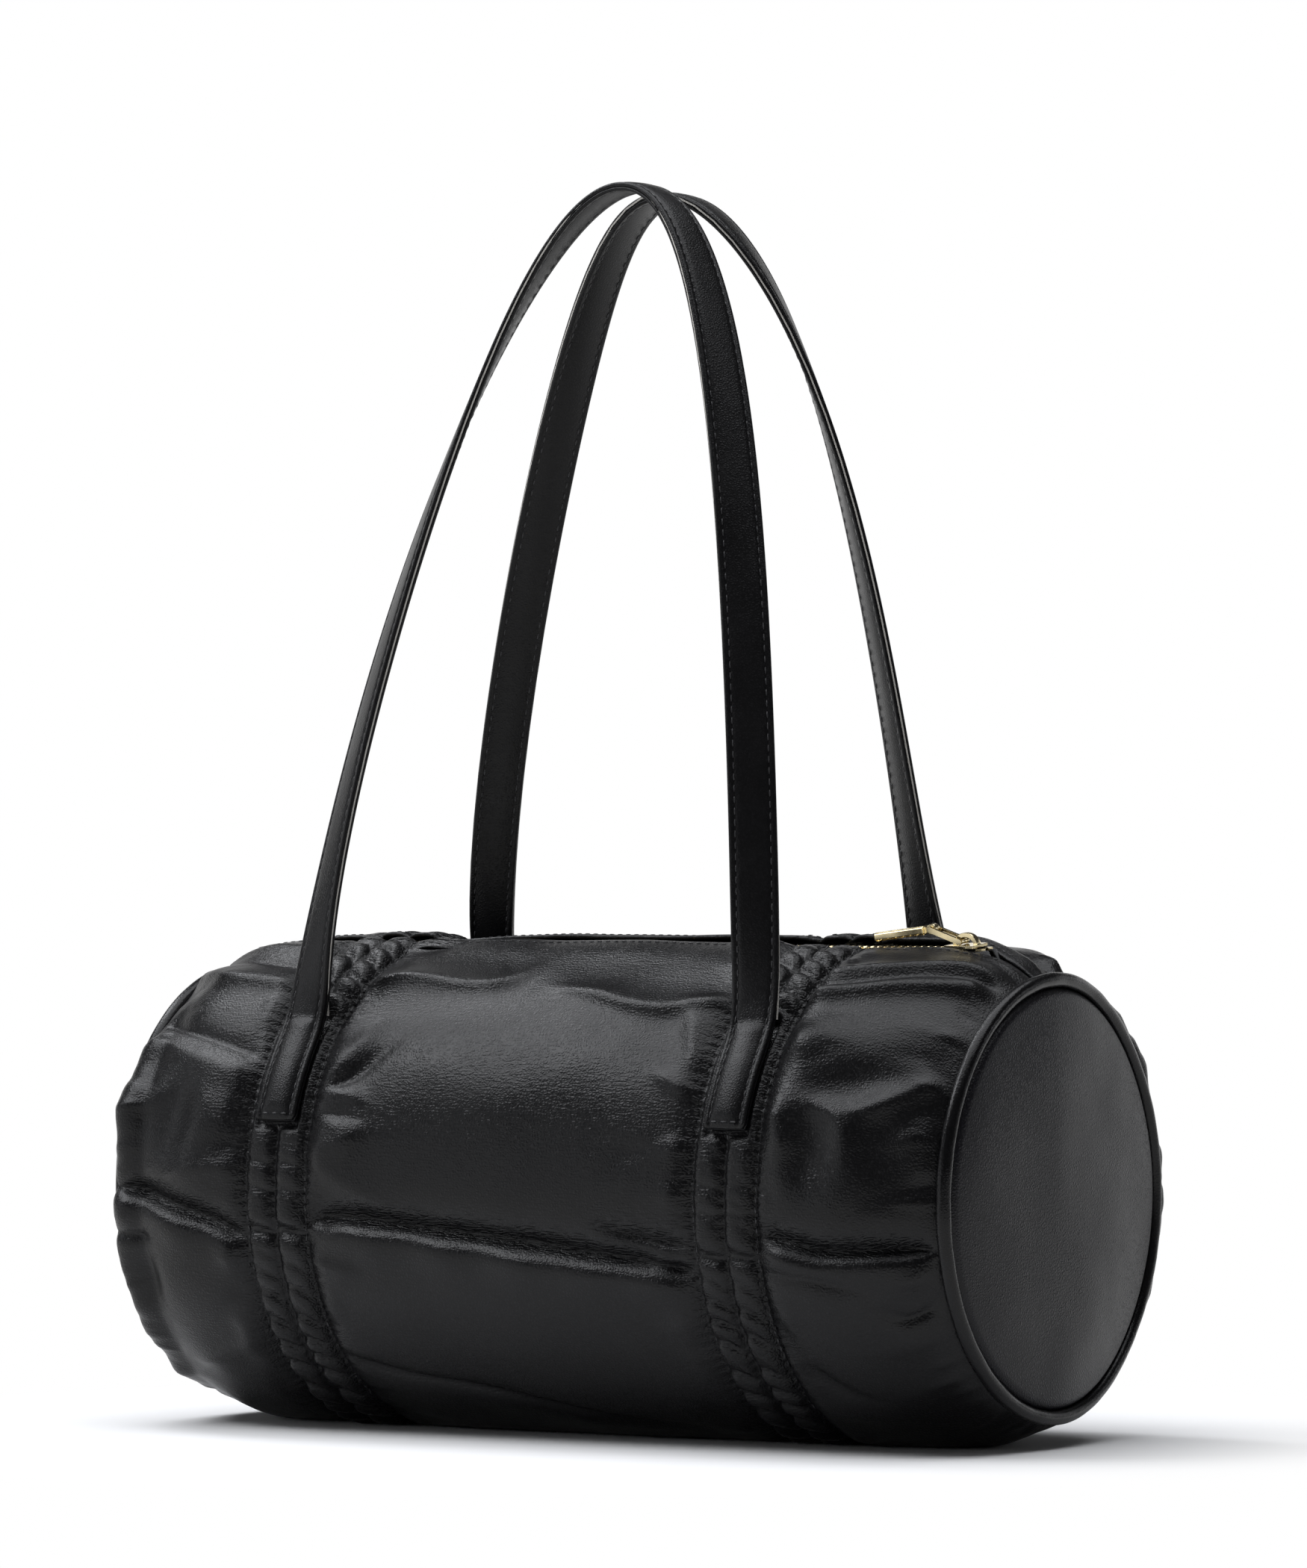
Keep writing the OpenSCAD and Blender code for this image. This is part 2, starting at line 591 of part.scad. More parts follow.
main_panel();
left_end_panel();
right_end_panel();
left_piping();
right_piping();
left_piping_cord();
right_piping_cord();
left_end_stiffener();
right_end_stiffener();
lining_tube();
left_lining_end();
right_lining_end();
lining_pocket();
left_band_elastics();
right_band_elastics();
zip_tape_front();
zip_tape_back();
zip_teeth_front();
zip_teeth_back();
zip_top_stops();
zip_bottom_stop();
zip_slider();
zip_pull_link();
zip_pull_bar();
front_strap_face();
front_strap_core();
front_strap_back();
back_strap_face();
back_strap_core();
back_strap_back();
front_strap_end_left();
front_strap_end_right();
back_strap_end_left();
back_strap_end_right();
front_strap_patches();
back_strap_patches();
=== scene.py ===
# %% [markdown]
# # A ruched barrel bag
#
# The bag is a soft tube of black leather. Two pairs of stitched channels with elastic in
# them draw it in, two piped discs close its ends, a metal zip opens it along the top, and two
# long flat straps stand up from the channels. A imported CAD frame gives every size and
# every joint, and this lesson gives the bag its looks.
#
# The frame is loaded first, so that each new piece can ride on one of its bodies.

# %% Load the frame
import math

import bmesh
import bpy
import numpy as np
from mathutils import Matrix, Vector, noise


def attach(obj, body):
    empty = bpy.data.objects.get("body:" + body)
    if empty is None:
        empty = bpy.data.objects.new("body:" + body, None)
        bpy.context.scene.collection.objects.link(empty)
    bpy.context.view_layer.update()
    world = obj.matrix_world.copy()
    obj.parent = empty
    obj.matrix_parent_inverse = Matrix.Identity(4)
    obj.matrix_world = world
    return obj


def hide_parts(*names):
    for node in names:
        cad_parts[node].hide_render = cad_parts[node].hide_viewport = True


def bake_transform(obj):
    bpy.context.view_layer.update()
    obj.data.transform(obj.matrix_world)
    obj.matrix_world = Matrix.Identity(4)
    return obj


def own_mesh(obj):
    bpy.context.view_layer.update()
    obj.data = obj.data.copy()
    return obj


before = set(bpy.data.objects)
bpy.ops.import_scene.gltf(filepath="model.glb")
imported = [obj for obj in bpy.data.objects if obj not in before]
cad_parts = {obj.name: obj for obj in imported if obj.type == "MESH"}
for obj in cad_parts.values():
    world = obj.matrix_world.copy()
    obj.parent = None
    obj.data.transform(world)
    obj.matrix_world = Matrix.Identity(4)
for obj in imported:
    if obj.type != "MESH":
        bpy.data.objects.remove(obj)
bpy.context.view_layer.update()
scene = bpy.context.scene
scene.view_settings.view_transform = "Standard"
MM = 0.001

# %% [markdown]
# ## Camera
#
# The photograph was taken with a long lens from almost the height of the bag's top, with the
# zip's closed end to the right. A long lens is set with a large focal length and a distance
# of a few metres. The direction is built from one angle round the bag and a slight tilt.

# %% Camera
camera_turn = math.radians(33.3)
camera_tilt = math.radians(0.617)
camera_away, camera_side, camera_height = 2.7, 0.0065, 0.183
camera = bpy.data.objects.new("camera", bpy.data.cameras.new("camera"))
scene.collection.objects.link(camera)
scene.camera = camera
camera.data.sensor_fit = "VERTICAL"
camera.data.sensor_height = 36
camera.data.lens = 188.8
camera.data.clip_end = 20
camera.location = (
    math.sin(camera_turn) * camera_away + math.cos(camera_turn) * camera_side,
    -math.cos(camera_turn) * camera_away + math.sin(camera_turn) * camera_side,
    camera_height)
camera.rotation_euler = (math.pi / 2 + camera_tilt, 0, camera_turn)
print("camera at", [round(c, 3) for c in camera.location])

# %% [markdown]
# ## Node helpers
#
# A procedural finish is a small graph: coordinates, a pattern or two, and the shader. The
# helpers below add one node and link it in one line, so that each finish reads as a recipe.

# %% Node helpers
def new_finish(name):
    """A new material, and a function that adds a linked node to its graph.

    An input is named with its spaces as underscores, or as i0, i1 where names repeat.
    """
    material = bpy.data.materials.new(name)
    material.use_nodes = True
    tree = material.node_tree
    tree.nodes.clear()

    def add(kind, settings=None, **inputs):
        node = tree.nodes.new("ShaderNode" + kind)
        for name, value in (settings or {}).items():
            setattr(node, name, value)
        for name, value in inputs.items():
            key = int(name[1:]) if name[0] == "i" and name[1:].isdigit() else name.replace("_", " ")
            if isinstance(value, bpy.types.NodeSocket):
                tree.links.new(value, node.inputs[key])
            else:
                node.inputs[key].default_value = value
        return node

    return material, add


def finish_with(add, shader):
    add("OutputMaterial", Surface=shader.outputs[0])


# %% [markdown]
# ## Leather
#
# The leather is nearly black, with a low even shine and a fine grain of rounded cells about
# a millimetre across. Grain like this is the distance to the edge of Voronoi cells: it is
# zero in the fine grooves and rises on the cells. A slow noise bends the cells, so that they
# don't look like a mosaic. Where the leather is folded hard, long narrow wrinkles run along
# the bag. They come from the same pattern, stretched, and an attribute of the mesh says how
# strong they are at each point.

# %% Leather finish
def leather(name, cell=1.1, shine=0.34, grain_depth=0.00006, wrinkles=False,
            tint=(0.0062, 0.0060, 0.0068)):
    """cell is the grain's size in millimetres, shine the roughness and tint the leather's colour.
    """
    material, add = new_finish(name)
    place = add("TexCoord").outputs["Object"]
    drift = add("TexNoise", Vector=place, Scale=260.0, Detail=2.0)
    bent = add("VectorMath", {"operation": "MULTIPLY_ADD"}, i0=drift.outputs["Color"],
               i1=(0.0011, 0.0011, 0.0011), i2=place)
    cells = add("TexVoronoi", {"feature": "DISTANCE_TO_EDGE"}, Vector=bent.outputs[0],
                Scale=1000.0 / cell)
    groove = add("MapRange", {"interpolation_type": "SMOOTHSTEP"},
                 Value=cells.outputs["Distance"], From_Max=0.42)
    fine = add("TexNoise", Vector=place, Scale=2600.0, Detail=3.0)
    height = add("Math", {"operation": "MULTIPLY_ADD"}, i0=fine.outputs["Fac"], i1=0.2,
                 i2=groove.outputs[0])
    bump = add("Bump", Strength=1.0, Distance=grain_depth, Height=height.outputs[0])
    if wrinkles:
        long_way = add("Mapping", Vector=bent.outputs[0], Scale=(0.16, 1.0, 1.0))
        lines = add("TexVoronoi", {"feature": "DISTANCE_TO_EDGE"}, Vector=long_way.outputs[0],
                    Scale=880.0)
        sharp = add("MapRange", {"interpolation_type": "SMOOTHSTEP"},
                    Value=lines.outputs["Distance"], From_Max=0.3)
        where = add("Attribute", {"attribute_name": "wrinkle"})
        strength = add("Math", {"operation": "MULTIPLY"}, i0=sharp.outputs[0],
                       i1=where.outputs["Fac"])
        bump = add("Bump", Strength=1.0, Distance=0.00028, Height=strength.outputs[0],
                   Normal=bump.outputs[0])
    patch = add("TexNoise", Vector=place, Scale=38.0, Detail=3.0)
    gloss = add("MapRange", Value=patch.outputs["Fac"], From_Min=0.3, From_Max=0.7,
                To_Min=shine - 0.035, To_Max=shine + 0.045)
    # The grooves between the grain's cells are painted darker: painted shade in the grain.
    base_colour = add("Mix", {"data_type": "RGBA"}, Factor=groove.outputs[0],
              A=(*[c * 0.55 for c in tint], 1), B=(*tint, 1))
    shader = add("BsdfPrincipled", Base_Color=base_colour.outputs["Result"], Roughness=gloss.outputs[0],
                 Specular_IOR_Level=0.23, Normal=bump.outputs[0])
    finish_with(add, shader)
    return material


body_leather = leather("body_leather", shine=0.33, wrinkles=True)
# The end discs are the same leather, given a bluer, lighter tint: a painted bluish sheen.
end_leather = leather("end_leather", cell=1.0, shine=0.38, grain_depth=0.00007,
                      tint=(0.0075, 0.0072, 0.0102))
piping_leather = leather("piping_leather", cell=0.9, shine=0.26, grain_depth=0.00003)
strap_leather = leather("strap_leather", cell=0.9, shine=0.34, grain_depth=0.000045)
print("leathers:", [m.name for m in bpy.data.materials if "leather" in m.name])

# %% [markdown]
# ## Metal, cloth and thread
#
# The zip's metal is a pale polished gold with faint rub marks, so its roughness wanders a
# little. Tape, lining and elastic are woven, and two crossed wave patterns on the piece's own
# UV map make a weave. The thread is a soft black twist, with a slanted wave for its ply.

# %% Metal, cloth and thread finishes
def polished_gold(name, shine=0.15):
    material, add = new_finish(name)
    place = add("TexCoord").outputs["Object"]
    rub = add("TexNoise", Vector=place, Scale=420.0, Detail=4.0)
    gloss = add("MapRange", Value=rub.outputs["Fac"], To_Min=shine - 0.06, To_Max=shine + 0.1)
    bump = add("Bump", Strength=0.25, Distance=0.00002, Height=rub.outputs["Fac"])
    shader = add("BsdfPrincipled", Base_Color=(0.83, 0.71, 0.44, 1), Metallic=1.0,
                 Roughness=gloss.outputs[0], Normal=bump.outputs[0])
    finish_with(add, shader)
    return material


def woven(name, colour, pitch, depth=0.00012, coordinates="UV"):
    material, add = new_finish(name)
    place = add("TexCoord").outputs[coordinates]
    threads = []
    for direction in ("X", "Y"):
        wave = add("TexWave", {"bands_direction": direction}, Vector=place, Scale=0.314 / pitch,
                   Distortion=0.4, Detail=1.0)
        threads.append(wave.outputs["Fac"])
    weave = add("Math", {"operation": "MAXIMUM"}, i0=threads[0], i1=threads[1])
    bump = add("Bump", Strength=0.8, Distance=depth, Height=weave.outputs[0])
    mottle = add("TexNoise", Vector=place, Scale=0.4 / pitch, Detail=2.0)
    shade = add("Math", {"operation": "MULTIPLY_ADD"}, i0=mottle.outputs["Fac"], i1=0.5, i2=0.5)
    base_colour = add("Mix", {"data_type": "RGBA"}, Factor=shade.outputs[0],
              A=(*[c * 0.6 for c in colour], 1), B=(*colour, 1))
    shader = add("BsdfPrincipled", Base_Color=base_colour.outputs["Result"], Roughness=0.85,
                 Sheen_Weight=0.25, Normal=bump.outputs[0])
    finish_with(add, shader)
    return material


def thread(name, colour):
    material, add = new_finish(name)
    place = add("TexCoord").outputs["Object"]
    ply = add("TexWave", {"bands_direction": "DIAGONAL"}, Vector=place, Scale=700.0, Distortion=1.0)
    bump = add("Bump", Strength=0.6, Distance=0.00008, Height=ply.outputs["Fac"])
    shader = add("BsdfPrincipled", Base_Color=(*colour, 1), Roughness=0.42,
                 Normal=bump.outputs[0])
    finish_with(add, shader)
    return material


gold = polished_gold("gold")
tape_cloth = woven("tape_cloth", (0.02, 0.02, 0.022), 0.0006)
lining_cloth = woven("lining_cloth", (0.05, 0.047, 0.047), 0.0007)
elastic_cloth = woven("elastic_cloth", (0.7, 0.69, 0.66), 0.0009)
filler_felt = woven("filler_felt", (0.5, 0.48, 0.44), 0.0012, coordinates="Object")
foam = woven("foam", (0.55, 0.55, 0.52), 0.0015, coordinates="Object")
cord_cotton = woven("cord_cotton", (0.75, 0.74, 0.7), 0.001, coordinates="Object")
black_thread = thread("black_thread", (0.02, 0.02, 0.022))
print("finishes:", len(bpy.data.materials))

# %% [markdown]
# ## Sizes
#
# These sizes are the ones that the frame was built from, in millimetres. The bag's skin is
# described by two numbers, as on a map: the place along the bag, and the turn round it in
# degrees from the zip towards the front. The body has rolled a little towards its front.

# %% Sizes
axis_z, roll = 79.5, 7.0
body_r, side_r, band_r, seam_r = 83.0, 82.6, 81.5, 69.5
rim_x, panel_end_x = 161.0, 158.4
band_x, channel_w = 87.0, 11.5
row_places = [band_x - channel_w, band_x, band_x + channel_w]
ends = ((-1, "left"), (1, "right"))
slot_turn = math.degrees(math.asin(6.5 / body_r))
mm_per_degree = math.radians(82)  # round the skin, at its usual radius


def outline_radius(x):
    """The body's radius along the bag, without its folds."""
    reach = np.abs(x)
    inner, outer = row_places[0], row_places[2]
    centre = body_r - 1.5 * (reach / inner) ** 4
    share = np.clip((reach - outer) / (panel_end_x - outer), 0, 1)
    side = seam_r + (side_r - seam_r) * (1 - share ** 3.6) \
        - 1.1 * np.maximum(0, 1 - share / 0.2) ** 2
    return np.where(reach < inner, centre, np.where(reach <= outer, band_r, side))


def ease(start, end, value):
    """0 at start, 1 at end, flat beyond them and a smooth rise between."""
    t = np.clip((value - start) / (end - start), 0, 1)
    return t * t * (3 - 2 * t)


print("radius at the middle, a band and a rim:", outline_radius(np.array([0, 87, 158.4])).round(1))

# %% [markdown]
# ## Folds
#
# Folds in soft leather run along lines: a crest stands up along its line, and a crease falls
# in. So each fold is a short list of places on the skin, read off the photograph, with
# a height and a width. A curve is drawn through the places, every point of the skin
# measures its distance to the curve, and a bell of that distance gives the height. Creases
# and crests use a pointed bell, because folded leather meets in a V and turns over in a ridge.

# %% Fold helpers
def smooth_path(places, steps=8):
    """A Catmull-Rom curve through places of (x, turn)."""
    p = np.array(places, float)
    p = np.vstack([2 * p[0] - p[1], p, 2 * p[-1] - p[-2]])
    out = []
    for i in range(1, len(p) - 2):
        for t in np.arange(steps) / steps:
            out.append(0.5 * ((2 * p[i]) + (p[i + 1] - p[i - 1]) * t
                              + (2 * p[i - 1] - 5 * p[i] + 4 * p[i + 1] - p[i + 2]) * t ** 2
                              + (3 * p[i] - p[i - 1] - 3 * p[i + 1] + p[i + 2]) * t ** 3))
    return np.vstack([out, p[-2]])


def fold(x, turn, places, height, above, below=None, point=None, tips=(0.3, 0.3), shift=0.0):
    """The height that one fold adds. Its side above the path faces the zip on the front.

    above and below are its widths, point sharpens the bell, tips are the shares of its length
    over which its ends rise, and shift moves it down in millimetres.
    """
    below = above if below is None else below
    path = smooth_path(places)
    path[:, 1] += shift / mm_per_degree
    lowest, highest = path.min(0), path.max(0)
    reach = 4 * max(above, below)
    round_reach = reach / mm_per_degree
    near = ((x > lowest[0] - reach) & (x < highest[0] + reach)
            & (turn > lowest[1] - round_reach) & (turn < highest[1] + round_reach))
    added = np.zeros_like(x)
    if not near.any():
        return added
    px, ps = x[near], turn[near] * mm_per_degree
    line = path * [1, mm_per_degree]
    lengths = np.hypot(*np.diff(line, axis=0).T)
    total = lengths.sum()
    best, along, side = np.full(px.shape, 1e9), np.zeros_like(px), np.zeros_like(px)
    start = 0.0
    for (ax, ay), (bx, by), length in zip(line[:-1], line[1:], lengths):
        dx, dy = (bx - ax) / length, (by - ay) / length
        t = np.clip((px - ax) * dx + (ps - ay) * dy, 0, length)
        gap = np.hypot(px - ax - t * dx, ps - ay - t * dy)
        closer = gap < best
        best = np.where(closer, gap, best)
        along = np.where(closer, start + t, along)
        side = np.where(closer, dx * (ps - ay) - dy * (px - ax), side)
        start += length
    share = along / total
    taper = np.ones_like(px)
    if tips[0]:
        taper *= ease(0, tips[0], share)
    if tips[1]:
        taper *= ease(0, tips[1], 1 - share)
    width = np.where(side > 0, below, above) * (0.55 + 0.45 * taper)
    bell = np.exp(-(best / width) ** 2) if point is None else \
        np.exp(-1.3 * (np.sqrt((best / width) ** 2 + point ** 2) - point))
    added[near] = height * taper * bell
    return added


def dish(x, turn, centre, reach_x, reach_turn, depth, tilt=0.0):
    """A shallow oval hollow, or a swelling where the depth is negative."""
    dx, ds = x - centre[0], (turn - centre[1]) * mm_per_degree
    c, s = math.cos(math.radians(tilt)), math.sin(math.radians(tilt))
    u, v = (c * dx + s * ds) / reach_x, (-s * dx + c * ds) / (reach_turn * mm_per_degree)
    return -depth * np.exp(-(u * u + v * v) ** 1.3)


# %% [markdown]
# ## The folds of this bag
#
# The same bag looks much the same from its back, so the list is used twice: as it is on the
# front, and turned half round on the back. Small puckers fan out from every row of stitches
# and from the piping, because the leather is gathered there. They are too many to place by
# hand, so a seeded random generator spreads them, the same way each time.

# %% Folds seen in the photograph
crests = [  # places, height, width above, width below
    ([(-79, 12), (-70, 6), (-59, 3), (-35, 3), (-12, 3)], 1.2, 4, 4),
    ([(-79, 28), (-66, 27), (-50, 28), (-35, 30), (-22, 30), (-14, 27), (-10, 20), (-7, 11)],
     3.2, 7, 3.2),
    ([(-5, 28), (8, 31), (21, 33), (36, 36), (50, 37), (62, 35), (79, 33)], 3.0, 6, 3.2),
    ([(-78, 66), (-67, 55), (-61, 47), (-54, 38)], 2.0, 4, 5),
    ([(-80, 59), (-72, 60), (-60, 61), (-49, 64)], 1.5, 3, 2.4),
    ([(-80, 73), (-70, 74), (-60, 72), (-48, 69)], 2.2, 5, 5),
    ([(-80, 74), (-70, 77), (-50, 84), (-33, 88)], 1.2, 5, 5),
    ([(-80, 100), (-70, 100), (-52, 102)], 1.8, 4, 4),
    ([(56, 34), (63, 40), (68, 47), (79, 55)], 2.2, 4, 4),
    ([(52, 52), (62, 56), (79, 60)], 1.4, 2.4, 2.4),
    ([(36, 86), (50, 80), (64, 74), (80, 69)], 0.8, 10, 9),
    ([(52, 86), (64, 82), (80, 78)], 0.7, 5, 5),
    ([(52, 98), (62, 97), (80, 96)], 1.8, 3, 3),
    ([(-157, 7), (-141, 9), (-126, 11), (-112, 13), (-97, 14)], 1.8, 5, 5),
    ([(-158, 17), (-145, 22), (-130, 27), (-112, 29), (-97, 30)], 3.0, 7, 3.2),
    ([(-159, 42), (-147, 46), (-134, 50), (-115, 54), (-97, 56)], 1.8, 3.2, 8),
    ([(-138, 81), (-120, 79), (-107, 78), (-97, 77)], 1.8, 4, 4),
    ([(-143, 130), (-129, 127), (-115, 123), (-97, 118)], 2.0, 4, 4),
    ([(-158, 66), (-148, 63), (-138, 63)], 1.2, 4, 4),
    ([(96, 34), (103, 32), (118, 30), (141, 25), (158, 19)], 3.2, 6, 3.0),
    ([(96, 25), (104, 24), (115, 22), (125, 20), (143, 15), (157, 12)], 2.4, 4.5, 2.4),
    ([(106, 56), (115, 60), (124, 62), (129, 66), (131, 77)], 1.6, 4, 4),
    ([(126, 63), (140, 60), (157, 51)], 1.9, 4, 4),
    ([(95, 61), (102, 64), (108, 68), (110, 76)], 1.5, 4, 4),
    ([(96, 48), (106, 47), (118, 49)], 1.3, 4, 4),
]
creases = [  # places, depth, width above, width below, height of the lip below
    ([(-82, 92), (-72, 90), (-60, 89), (-43, 90), (-17, 92), (12, 94), (35, 96), (60, 98),
      (74, 100), (82, 101)], 5.6, 6, 2.4, 2.8),
    ([(34, 89), (46, 90), (58, 92), (78, 94)], 2.8, 3, 2, 1.0),
    ([(-159, 83), (-148, 84), (-138, 86), (-122, 89), (-112, 91), (-97, 95)], 5.4, 6, 2.4, 2.6),
    ([(95, 91), (105, 91), (122, 94), (144, 94), (159, 95)], 4.8, 5, 2, 2.2),
    ([(-158, 95), (-150, 95), (-141, 96)], 2.0, 2.2, 2.2, 0.6),
    ([(96, 99), (103, 99), (119, 100), (142, 104)], 1.5, 2.5, 2.5, 0.6),
    ([(134, 107), (140, 108), (146, 111), (152, 110), (159, 106)], 1.8, 2.2, 2.2, 0.9),
    ([(95, 103), (101, 109), (105, 120), (118, 130), (136, 135)], 2.4, 4, 4, 0.8),
    ([(-78, 122), (-66, 126), (-50, 130), (-24, 134), (4, 140), (28, 144), (60, 147)],
     2.2, 3, 2, 1.0),
    ([(-154, 37), (-140, 42), (-128, 45), (-111, 49), (-97, 52)], 2.0, 4, 2.4, 0.0),
    ([(-80, 64), (-70, 60), (-60, 56), (-53, 51), (-44, 44)], 2.2, 4, 3, 0.0),
    ([(-80, 65), (-72, 65), (-60, 66), (-51, 67)], 1.6, 2.5, 2.5, 0.0),
    ([(38, 80), (52, 73), (66, 68), (80, 64)], 1.0, 7, 6, 0.0),
    ([(96, 29), (115, 26), (138, 20), (157, 15)], 2.0, 2.5, 2.5, 0.0),
    ([(-97, 22), (-118, 20), (-140, 15), (-156, 12)], 1.8, 4, 4, 0.0),
]
dishes = [  # centre, reach along, reach round in degrees, depth, tilt
    ((28, 22), 34, 8, 1.4, 8), ((-50, 18), 26, 7, 1.2, 0),
    ((129, 55), 14, 5, 2.6, -14), ((118, 71), 8, 9, 2.4, 0), ((143, 70), 8, 8, 2.2, 0),
    ((-115, 66), 12, 8, -1.8, 0), ((-149, 106), 7, 6, 2.8, 0), ((-131, 68), 9, 9, 1.8, 20),
    ((-5, 54), 44, 18, -1.6, 0), ((-4, 112), 58, 12, -1.4, 0), ((-128, 108), 18, 9, -1.3, 0),
    ((125, 112), 16, 9, -1.2, 0), ((-143, 58), 9, 6, -1.2, 0), ((112, 42), 12, 5, -1.1, 0),
]
print("placed by eye:", len(crests), "crests,", len(creases), "creases,", len(dishes), "hollows")

# %% Puckers at the stitches and the piping
chance = np.random.default_rng(7)


def fan_of_puckers(start_x, way, pitch, reach, height):
    """Short folds that leave a seam at start_x and fade along the bag."""
    fans = []
    turn = chance.uniform(0, pitch)
    while turn < 360:
        length = reach * chance.uniform(0.45, 1.4)
        slant = chance.normal(0, 0.16) * length
        size = height * chance.uniform(0.25, 1.0) * chance.choice([1, 1, -0.8])
        fans.append(([(start_x, turn), (start_x + way * length * 0.5, turn + slant * 0.4),
                      (start_x + way * length, turn + slant)], size, pitch * 0.33))
        turn += pitch * chance.uniform(0.6, 1.5)
    return fans


puckers = []
for side in (-1, 1):
    for start_x, way, pitch, reach, height in (
            (row_places[0], -1, 5.5, 11, 1.1), (row_places[0], -1, 12, 26, 1.9),
            (row_places[2], 1, 5.5, 11, 1.1), (row_places[2], 1, 11, 24, 1.8),
            (panel_end_x, -1, 4.2, 13, 1.2), (panel_end_x, -1, 10, 28, 1.4)):
        puckers += fan_of_puckers(side * start_x, side * way, pitch, reach, height)
print("spread by chance:", len(puckers), "puckers")

# %% [markdown]
# ## The gathered channels
#
# A channel is two rows of stitches with elastic between them. The stitches pull the leather
# down to a line, and the leather swells between the lines. Where the elastic is tight the
# extra leather stands up in small scales, each a short roll that bows towards the zip, nine
# millimetres apart. They are strongest over the top and under the bag, and almost flat below the
# straps, where the patch inside holds the leather smooth. Beside the zip the tape holds the
# leather straight, so the gathers fade there.

# %% Channels
channel_pleats = [  # turn, depth and width of the pleats across a channel near the crease
    (94, 2.4, 1.5), (98, -0.5, 2.4), (90.5, -0.6, 2.4), (84, 0.8, 1.0), (78, 0.6, 0.9)]
pinch_pitch, scale_pitch = 2.45, 6.6  # degrees from stitch to stitch, and from scale to scale
patch_top, patch_bottom = 37, 73  # degrees that the patch inside holds smooth


def channels(x, turn):
    """What the two channels of a band add to the radius."""
    reach, side = np.abs(x), np.sign(x)
    around = (turn + 180) % 360 - 180
    front = np.abs(around)
    gathered = 1 - ease(36, 46, front) + 0.7 * ease(94, 115, front)
    beside_zip = ease(5, 12, front)
    added = np.zeros_like(x)
    for index, row in enumerate(row_places):
        gap = reach - row
        away = np.abs(gap)
        skirt = np.where((gap < 0) == (index == 0), 3.0, 1.3) if index != 1 else 1.3
        pinch = 1 + 0.2 * np.cos(2 * np.pi * around / pinch_pitch)
        depth = (1.8 + 0.6 * gathered) * (0.3 + 0.7 * beside_zip)
        added -= depth * pinch * np.exp(-1.2 * (np.sqrt((away / skirt) ** 2 + 0.02) - 0.14))
    for index in (0, 1):
        middle = (row_places[index] + row_places[index + 1]) / 2
        across = (reach - middle) / (channel_w / 2)
        inside = np.clip(1 - across ** 2, 0, 1)
        under_tab = ease(patch_top, 42, front) * (1 - ease(68, patch_bottom, front))
        strength = (0.5 + 2.9 * gathered * beside_zip) * (1 - 0.9 * under_tab)
        wander = 0.22 * np.sin(around / 9 + index * 2.1 + side) \
            + 0.14 * np.sin(around / 3.7 + side * 2)
        bow = 0.3 * across ** 2 + 0.25 * across * side
        phase = front / scale_pitch + wander + index * 0.5 - bow
        past = phase - np.floor(phase)
        scale = np.sin(np.pi * past ** 0.65) ** 0.8
        added += inside ** 0.5 * (0.8 + strength * (scale - 0.45))
        for place, depth, width in channel_pleats:
            spot = place + 1.5 * side * np.sign(around) + 0.7 * across * side
            added -= inside ** 0.5 * depth * np.exp(-((front - spot) / width) ** 2)
    inside_band = (reach > row_places[0] - 8) & (reach < row_places[2] + 8)
    added += 1.3 * (1 - beside_zip) * ease(8, 0, np.abs(reach - band_x) - channel_w)
    return np.where(inside_band, added, 0)


# %% [markdown]
# ## One function for the skin
#
# Every piece that lies on the bag has to know where its surface is: the stitches, the strap
# ends, the lining. So one function gives the radius at any place, and all of them use it. Near
# a seam the folds are held down, because the stitches hold the leather there.

# %% Radius of the folded skin
def on_both_faces(x, turn, added_by):
    """The front's folds, and the same ones turned half round for the back."""
    return added_by(x, turn) + added_by(-x, 360 - turn)


def unevenness(x, turn):
    """Slow swells and smaller ones, as in any soft leather."""
    return np.array([
        noise.noise(Vector((a / 38, b / 30, 3.1)))
        + 0.16 * noise.noise(Vector((a / 15, b / 11, 7.7)))
        for a, b in zip(x, turn * mm_per_degree)])


def tips_of(places, held, free):
    """A fold starts short where a seam holds its end, and fades slowly where its end is free."""
    seams = np.array([row_places[0], row_places[2], panel_end_x])
    return [held if np.abs(seams - abs(end[0])).min() < 7 else free
            for end in (places[0], places[-1])]


def photographed_folds(x, turn):
    """All crests, creases with their lips, and hollows of one face."""
    added = np.zeros_like(x)
    for places, height, above, below in crests:
        added += fold(x, turn, places, height, above, below, point=0.45,
                      tips=tips_of(places, 0.12, 0.4))
    for places, depth, above, below, lip in creases:
        added += fold(x, turn, places, -depth, above, below, point=0.2,
                      tips=tips_of(places, 0.06, 0.45))
        if lip:
            uneven = 0.55 + 0.2 * np.sin(x / 8) * np.sin(x / 21 + 1) + 0.12 * np.sin(x / 4.3)
            added += uneven * fold(x, turn, places, lip, 3.6, 8, tips=(0.15, 0.15),
                                   shift=below + 3.4)
    for centre, reach_x, reach_turn, depth, tilt in dishes:
        added += dish(x, turn, centre, reach_x, reach_turn, depth, tilt)
    return added


